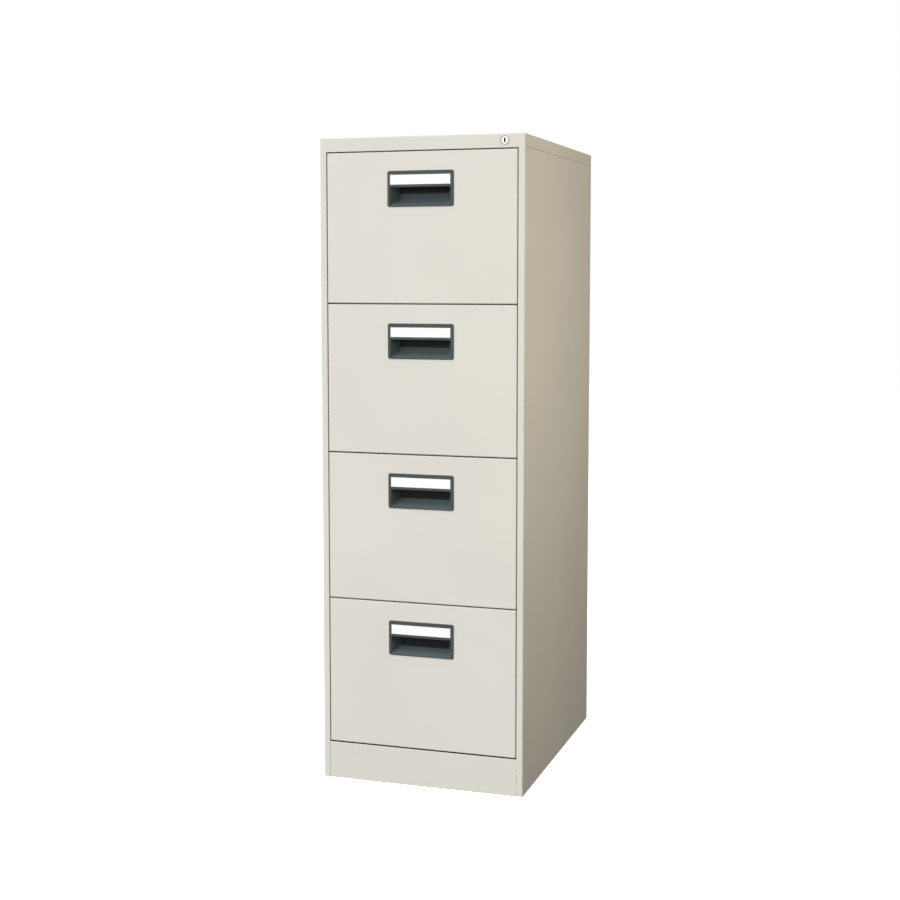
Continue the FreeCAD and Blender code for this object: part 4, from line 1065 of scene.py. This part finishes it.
class CABINET_OT_slides(bpy.types.Operator):
    """Finishes the fixed, middle and moving members of the drawer slides"""
    bl_idname = "cabinet.slides"
    bl_label = "Slide members"

    def execute(self, context):
        keep("zinc_plate", "cabinet_rails")
        for level in LEVELS:
            keep("zinc_plate", f"drawer_rails_{level}", f"slide_cradles_{level}")
        return {"FINISHED"}


class CABINET_OT_slide_rollers(bpy.types.Operator):
    """Turns the nylon rollers of the slides, dished on both sides round a hub"""
    bl_idname = "cabinet.slide_rollers"
    bl_label = "Rollers"

    def execute(self, context):
        slide = context.scene.cabinet_slide
        for level in LEVELS:
            for row in ROLLER_ROWS:
                node = f"{row}_rollers_{level}"
                low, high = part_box(node)
                middle = (low + high) / 2
                inner = min(abs(corner.co.x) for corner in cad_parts[node].data.vertices)
                half = (high.x - inner) / 2
                profile = roller_profile((high.z - low.z) / 2, half, slide)
                bm = bmesh.new()
                for side in SIDES.values():
                    turned(bm, profile, (side * (inner + half), middle.y, middle.z), (1, 0, 0))
                face_outwards(bm, (0, 0, 1))
                finish(f"{row}_rollers_nylon_{level}", bm, node, node,
                       "natural_nylon")
        return {"FINISHED"}


def roller_profile(radius, half, slide):
    """Half a roller's section as (radius, along): hub, dished web, rim and chamfered tread."""
    rim = radius - ROLLER_RIM
    web = half - slide.dish
    one_side = [(0, half), (slide.hub - HUB_EASE, half), (slide.hub, web), (rim, web),
                (rim + RIM_EASE, half), (radius - ROLLER_CHAMFER, half),
                (radius, half - ROLLER_CHAMFER)]
    return [(out, -along) for out, along in one_side] + one_side[::-1]


class CABINET_OT_levelling_feet(bpy.types.Operator):
    """Turns the levelling feet with their threaded stems"""
    bl_idname = "cabinet.levelling_feet"
    bl_label = "Feet"

    def execute(self, context):
        foot = context.scene.cabinet_foot
        for name in FEET:
            node = f"foot_{name}"
            low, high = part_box(node)
            middle = (low + high) / 2
            bm = bmesh.new()
            six_sided_pad(bm, foot, low, high)
            turned(bm, threaded_stem(foot, low.z + foot.pad_height, high.z),
                   (middle.x, middle.y, 0), (0, 0, 1), steps=THREAD_STEPS)
            bmesh.ops.recalc_face_normals(bm, faces=bm.faces[:])
            finish(f"levelling_foot_{name}", bm, node, node, "foot_plate")
        return {"FINISHED"}


def six_sided_pad(bm, foot, low, high):
    """The pad that a spanner turns, with its edges rounded."""
    wide, deep = high.x - low.x, high.y - low.y
    radius = max(wide, deep) / 2
    pad = bmesh.ops.create_cone(bm, cap_ends=True, segments=6, radius1=radius, radius2=radius,
                                depth=foot.pad_height)["verts"]
    if wide > deep:
        quarter_turn = Matrix.Rotation(radians(90), 3, "Z")
        bmesh.ops.rotate(bm, cent=(0, 0, 0), matrix=quarter_turn, verts=pad)
    place = ((low.x + high.x) / 2, (low.y + high.y) / 2, low.z + foot.pad_height / 2)
    bmesh.ops.translate(bm, vec=place, verts=pad)
    round_edges(bm, edges_at(pad), foot.edge, EDGE_SEGMENTS)


def threaded_stem(foot, low, high):
    """Half the stem's section as (radius, along): a neck, the thread's ridges, a tapered end."""
    root = foot.stem - foot.thread_depth
    start = low - STEM_ROOT
    place = low + STEM_NECK
    profile = [(0, start), (root, start), (root, place)]
    while place + foot.pitch < high - foot.pitch:
        profile += [(foot.stem, place + 0.4 * foot.pitch), (foot.stem, place + 0.6 * foot.pitch),
                    (root, place + foot.pitch)]
        place += foot.pitch
    return profile + [(root, high - STEM_TAPER), (root - STEM_TAPER, high), (0, high)]


class CABINET_OT_lock(bpy.types.Operator):
    """Turns the lock's collar and plug, cuts the keyway, and finishes the cam and the bar"""
    bl_idname = "cabinet.lock"
    bl_label = "Lock"

    def execute(self, context):
        lock = context.scene.cabinet_lock
        plug_low, plug_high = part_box("lock_plug")
        plug_radius = (plug_high.x - plug_low.x) / 2
        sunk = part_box("lock_body")[0].y + lock.sunk
        lock_collar(lock, plug_radius + lock.play, sunk)
        lock_plug(lock, plug_radius, sunk, plug_high.y)
        keep("zinc_plate", "lock_cam", "lock_bar")
        return {"FINISHED"}


def lock_collar(lock, bore, sunk):
    """The ring on the fascia with its sunk face, and the barrel behind it."""
    low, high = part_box("lock_body")
    centre = (low + high) / 2
    radius = (high.x - low.x) / 2
    inner = radius - lock.rim
    face, edge = low.y, COLLAR_EDGE
    profile = [
        (bore, high.y), (lock.barrel, high.y), (lock.barrel, FRONT), (radius, FRONT),
        (radius, face + edge), (radius - MID_ARC * edge, face + MID_ARC * edge),
        (radius - edge, face), (inner + edge, face),
        (inner + MID_ARC * edge, face + MID_ARC * edge), (inner, face + edge),
        (inner, sunk), (bore, sunk), (bore, high.y),
    ]
    bm = bmesh.new()
    turned(bm, profile, (centre.x, 0, centre.z), (0, 1, 0))
    face_outwards(bm)
    # The inner wall of the sunk rim takes the near-black steel as painted shade round the sunk face
    well = [part for part in bm.faces if reach_from(part, centre) < inner + NEAR
            and abs(part.normal.y) < 0.5 and part.calc_center_median().y < sunk]
    finish("lock_collar", bm, "root", "lock_body", "satin_nickel",
           {"bright_nickel": faces_on(bm, y=sunk), "dark_steel": well})


def lock_plug(lock, radius, face, back):
    """The plug, flush with the collar's sunk face, with the keyway cut into it."""
    centre = middle_of("lock_body")
    edge = PLUG_EDGE
    half_height = lock.keyway_height / 2
    bm = bmesh.new()
    rings = [circle(bm, centre, around, depth) for around, depth in (
        (radius - edge, face), (radius - MID_ARC * edge, face + MID_ARC * edge),
        (radius, face + edge), (radius, back))]
    lofted(bm, rings, closed=True)
    keyway = [outline(bm, lock.keyway_width / 2 + grow, centre.z - half_height - grow,
                      centre.z + half_height + grow, KEYWAY_CORNER, depth, middle=centre.x)
              for grow, depth in ((lock.keyway_mouth, face), (0, face + lock.keyway_mouth),
                                  (0, face + lock.keyway_depth))]
    lofted(bm, keyway, closed=True)
    fill_front(bm, rings[0] + keyway[0])
    face_outwards(bm)
    # The keyway's mouth, walls and floor take the near-black steel as painted shade in the slot
    inside = [part for part in bm.faces
              if reach_from(part, centre) < half_height + 2 * lock.keyway_mouth
              and face + NEAR < part.calc_center_median().y < back - NEAR]
    finish("lock_plug_face", bm, "lock_plug", "lock_plug", "bright_nickel",
           {"dark_steel": inside})


def reach_from(part, centre):
    """How far a face's farthest corner is from an axis along Y."""
    return max((corner.co - centre).xz.length for corner in part.verts)


# Camera, lights and floor

class CABINET_OT_stage(bpy.types.Operator):
    """Sets up the camera, the soft lights, the floor and the surroundings"""
    bl_idname = "cabinet.stage"
    bl_label = "Stage"

    def execute(self, context):
        stage = context.scene.cabinet_stage
        context.scene.view_settings.view_transform = "Standard"
        camera = bpy.data.objects.new("camera", bpy.data.cameras.new("camera"))
        camera.data.lens = stage.lens
        camera.data.sensor_width = 36
        camera.data.shift_y = stage.rise
        camera.location = stage.place
        camera.rotation_euler = (radians(90) - stage.pitch, 0, stage.yaw)
        context.scene.collection.objects.link(camera)
        context.scene.camera = camera
        for name, (place, target, size, colour) in LAMPS.items():
            area_light(context, name, getattr(stage, name), place, target, size, colour)
        surroundings(context, stage)
        pale_floor(context, stage)
        return {"FINISHED"}


def area_light(context, name, power, place, target, size, colour):
    """A square soft light that faces a target."""
    lamp = bpy.data.lights.new(name, "AREA")
    lamp.energy = power
    lamp.size = size
    lamp.color = colour
    light = bpy.data.objects.new(name, lamp)
    light.location = place
    light.visible_camera = False
    light.visible_glossy = False
    light.rotation_euler = (Vector(target) - Vector(place)).to_track_quat("-Z", "Y").to_euler()
    context.scene.collection.objects.link(light)


def surroundings(context, stage):
    """White surroundings, bright above the front left and dim elsewhere."""
    world = bpy.data.worlds.new("surroundings")
    world.use_nodes = True
    tree = world.node_tree
    tree.nodes.clear()
    direction = add(tree, "ShaderNodeTexCoord").outputs["Generated"]
    nearness = add(tree, "ShaderNodeVectorMath",
                   {0: direction, 1: Vector(stage.glow_from).normalized()},
                   operation="DOT_PRODUCT").outputs["Value"]
    strength = ranged(tree, nearness, (GLOW_EDGE, 1), (stage.ambient, stage.glow))
    light = add(tree, "ShaderNodeBackground", {"Strength": strength, "Color": WHITE})
    seen = add(tree, "ShaderNodeBackground", {"Strength": 1.0, "Color": WHITE})
    path = add(tree, "ShaderNodeLightPath")
    both = add(tree, "ShaderNodeMixShader",
               {0: path.outputs["Is Camera Ray"], 1: light.outputs[0], 2: seen.outputs[0]})
    add(tree, "ShaderNodeOutputWorld", {"Surface": both.outputs[0]})
    context.scene.world = world


def pale_floor(context, stage):
    """A wide pale floor that shows a soft shadow and throws no light back."""
    bm = bmesh.new()
    bmesh.ops.create_grid(bm, x_segments=1, y_segments=1, size=FLOOR_HALF)
    mesh = bpy.data.meshes.new("floor")
    bm.to_mesh(mesh)
    bm.free()
    material, tree, shader = new_finish("pale_floor", **{
        "Roughness": 0.9, "Specular IOR Level": 0.0, "Emission Strength": stage.floor_glow,
        "Emission Color": WHITE})
    shade = noise(tree, object_place(tree), 1.2)
    tree.links.new(tinted(tree, shade, stage.floor_colour, 0.995, 1.0),
                   shader.inputs["Base Color"])
    mesh.materials.append(material)
    floor = bpy.data.objects.new("floor", mesh)
    floor.visible_diffuse = False
    floor.visible_glossy = False
    context.scene.collection.objects.link(floor)


OPERATORS = (
    CABINET_OT_top_cap,
    CABINET_OT_side_panels,
    CABINET_OT_base_frame,
    CABINET_OT_inner_frame,
    CABINET_OT_drawer_fronts,
    CABINET_OT_drawer_trays,
    CABINET_OT_file_followers,
    CABINET_OT_drawer_handles,
    CABINET_OT_label_cards,
    CABINET_OT_slides,
    CABINET_OT_slide_rollers,
    CABINET_OT_levelling_feet,
    CABINET_OT_lock,
    CABINET_OT_stage,
)


class CABINET_PT_pieces(bpy.types.Panel):
    """Lists the settings and the operators in the order in which they run"""
    bl_idname = "CABINET_PT_pieces"
    bl_label = "Filing cabinet"
    bl_space_type = "VIEW_3D"
    bl_region_type = "UI"
    bl_category = "Cabinet"

    def draw(self, context):
        for name, group in SETTINGS.items():
            settings = getattr(context.scene, name)
            column = self.layout.box().column()
            for key in group.__annotations__:
                column.prop(settings, key)
        column = self.layout.column()
        for operator in OPERATORS:
            column.operator(operator.bl_idname)


def register():
    for kind in (*SETTINGS.values(), *OPERATORS, CABINET_PT_pieces):
        bpy.utils.register_class(kind)
    for name, group in SETTINGS.items():
        setattr(bpy.types.Scene, name, PointerProperty(type=group))


def unregister():
    for name in SETTINGS:
        delattr(bpy.types.Scene, name)
    for kind in reversed((*SETTINGS.values(), *OPERATORS, CABINET_PT_pieces)):
        bpy.utils.unregister_class(kind)


def main():
    register()
    for operator in OPERATORS:
        group, name = operator.bl_idname.split(".")
        getattr(getattr(bpy.ops, group), name)()


if __name__ == "__main__":
    main()
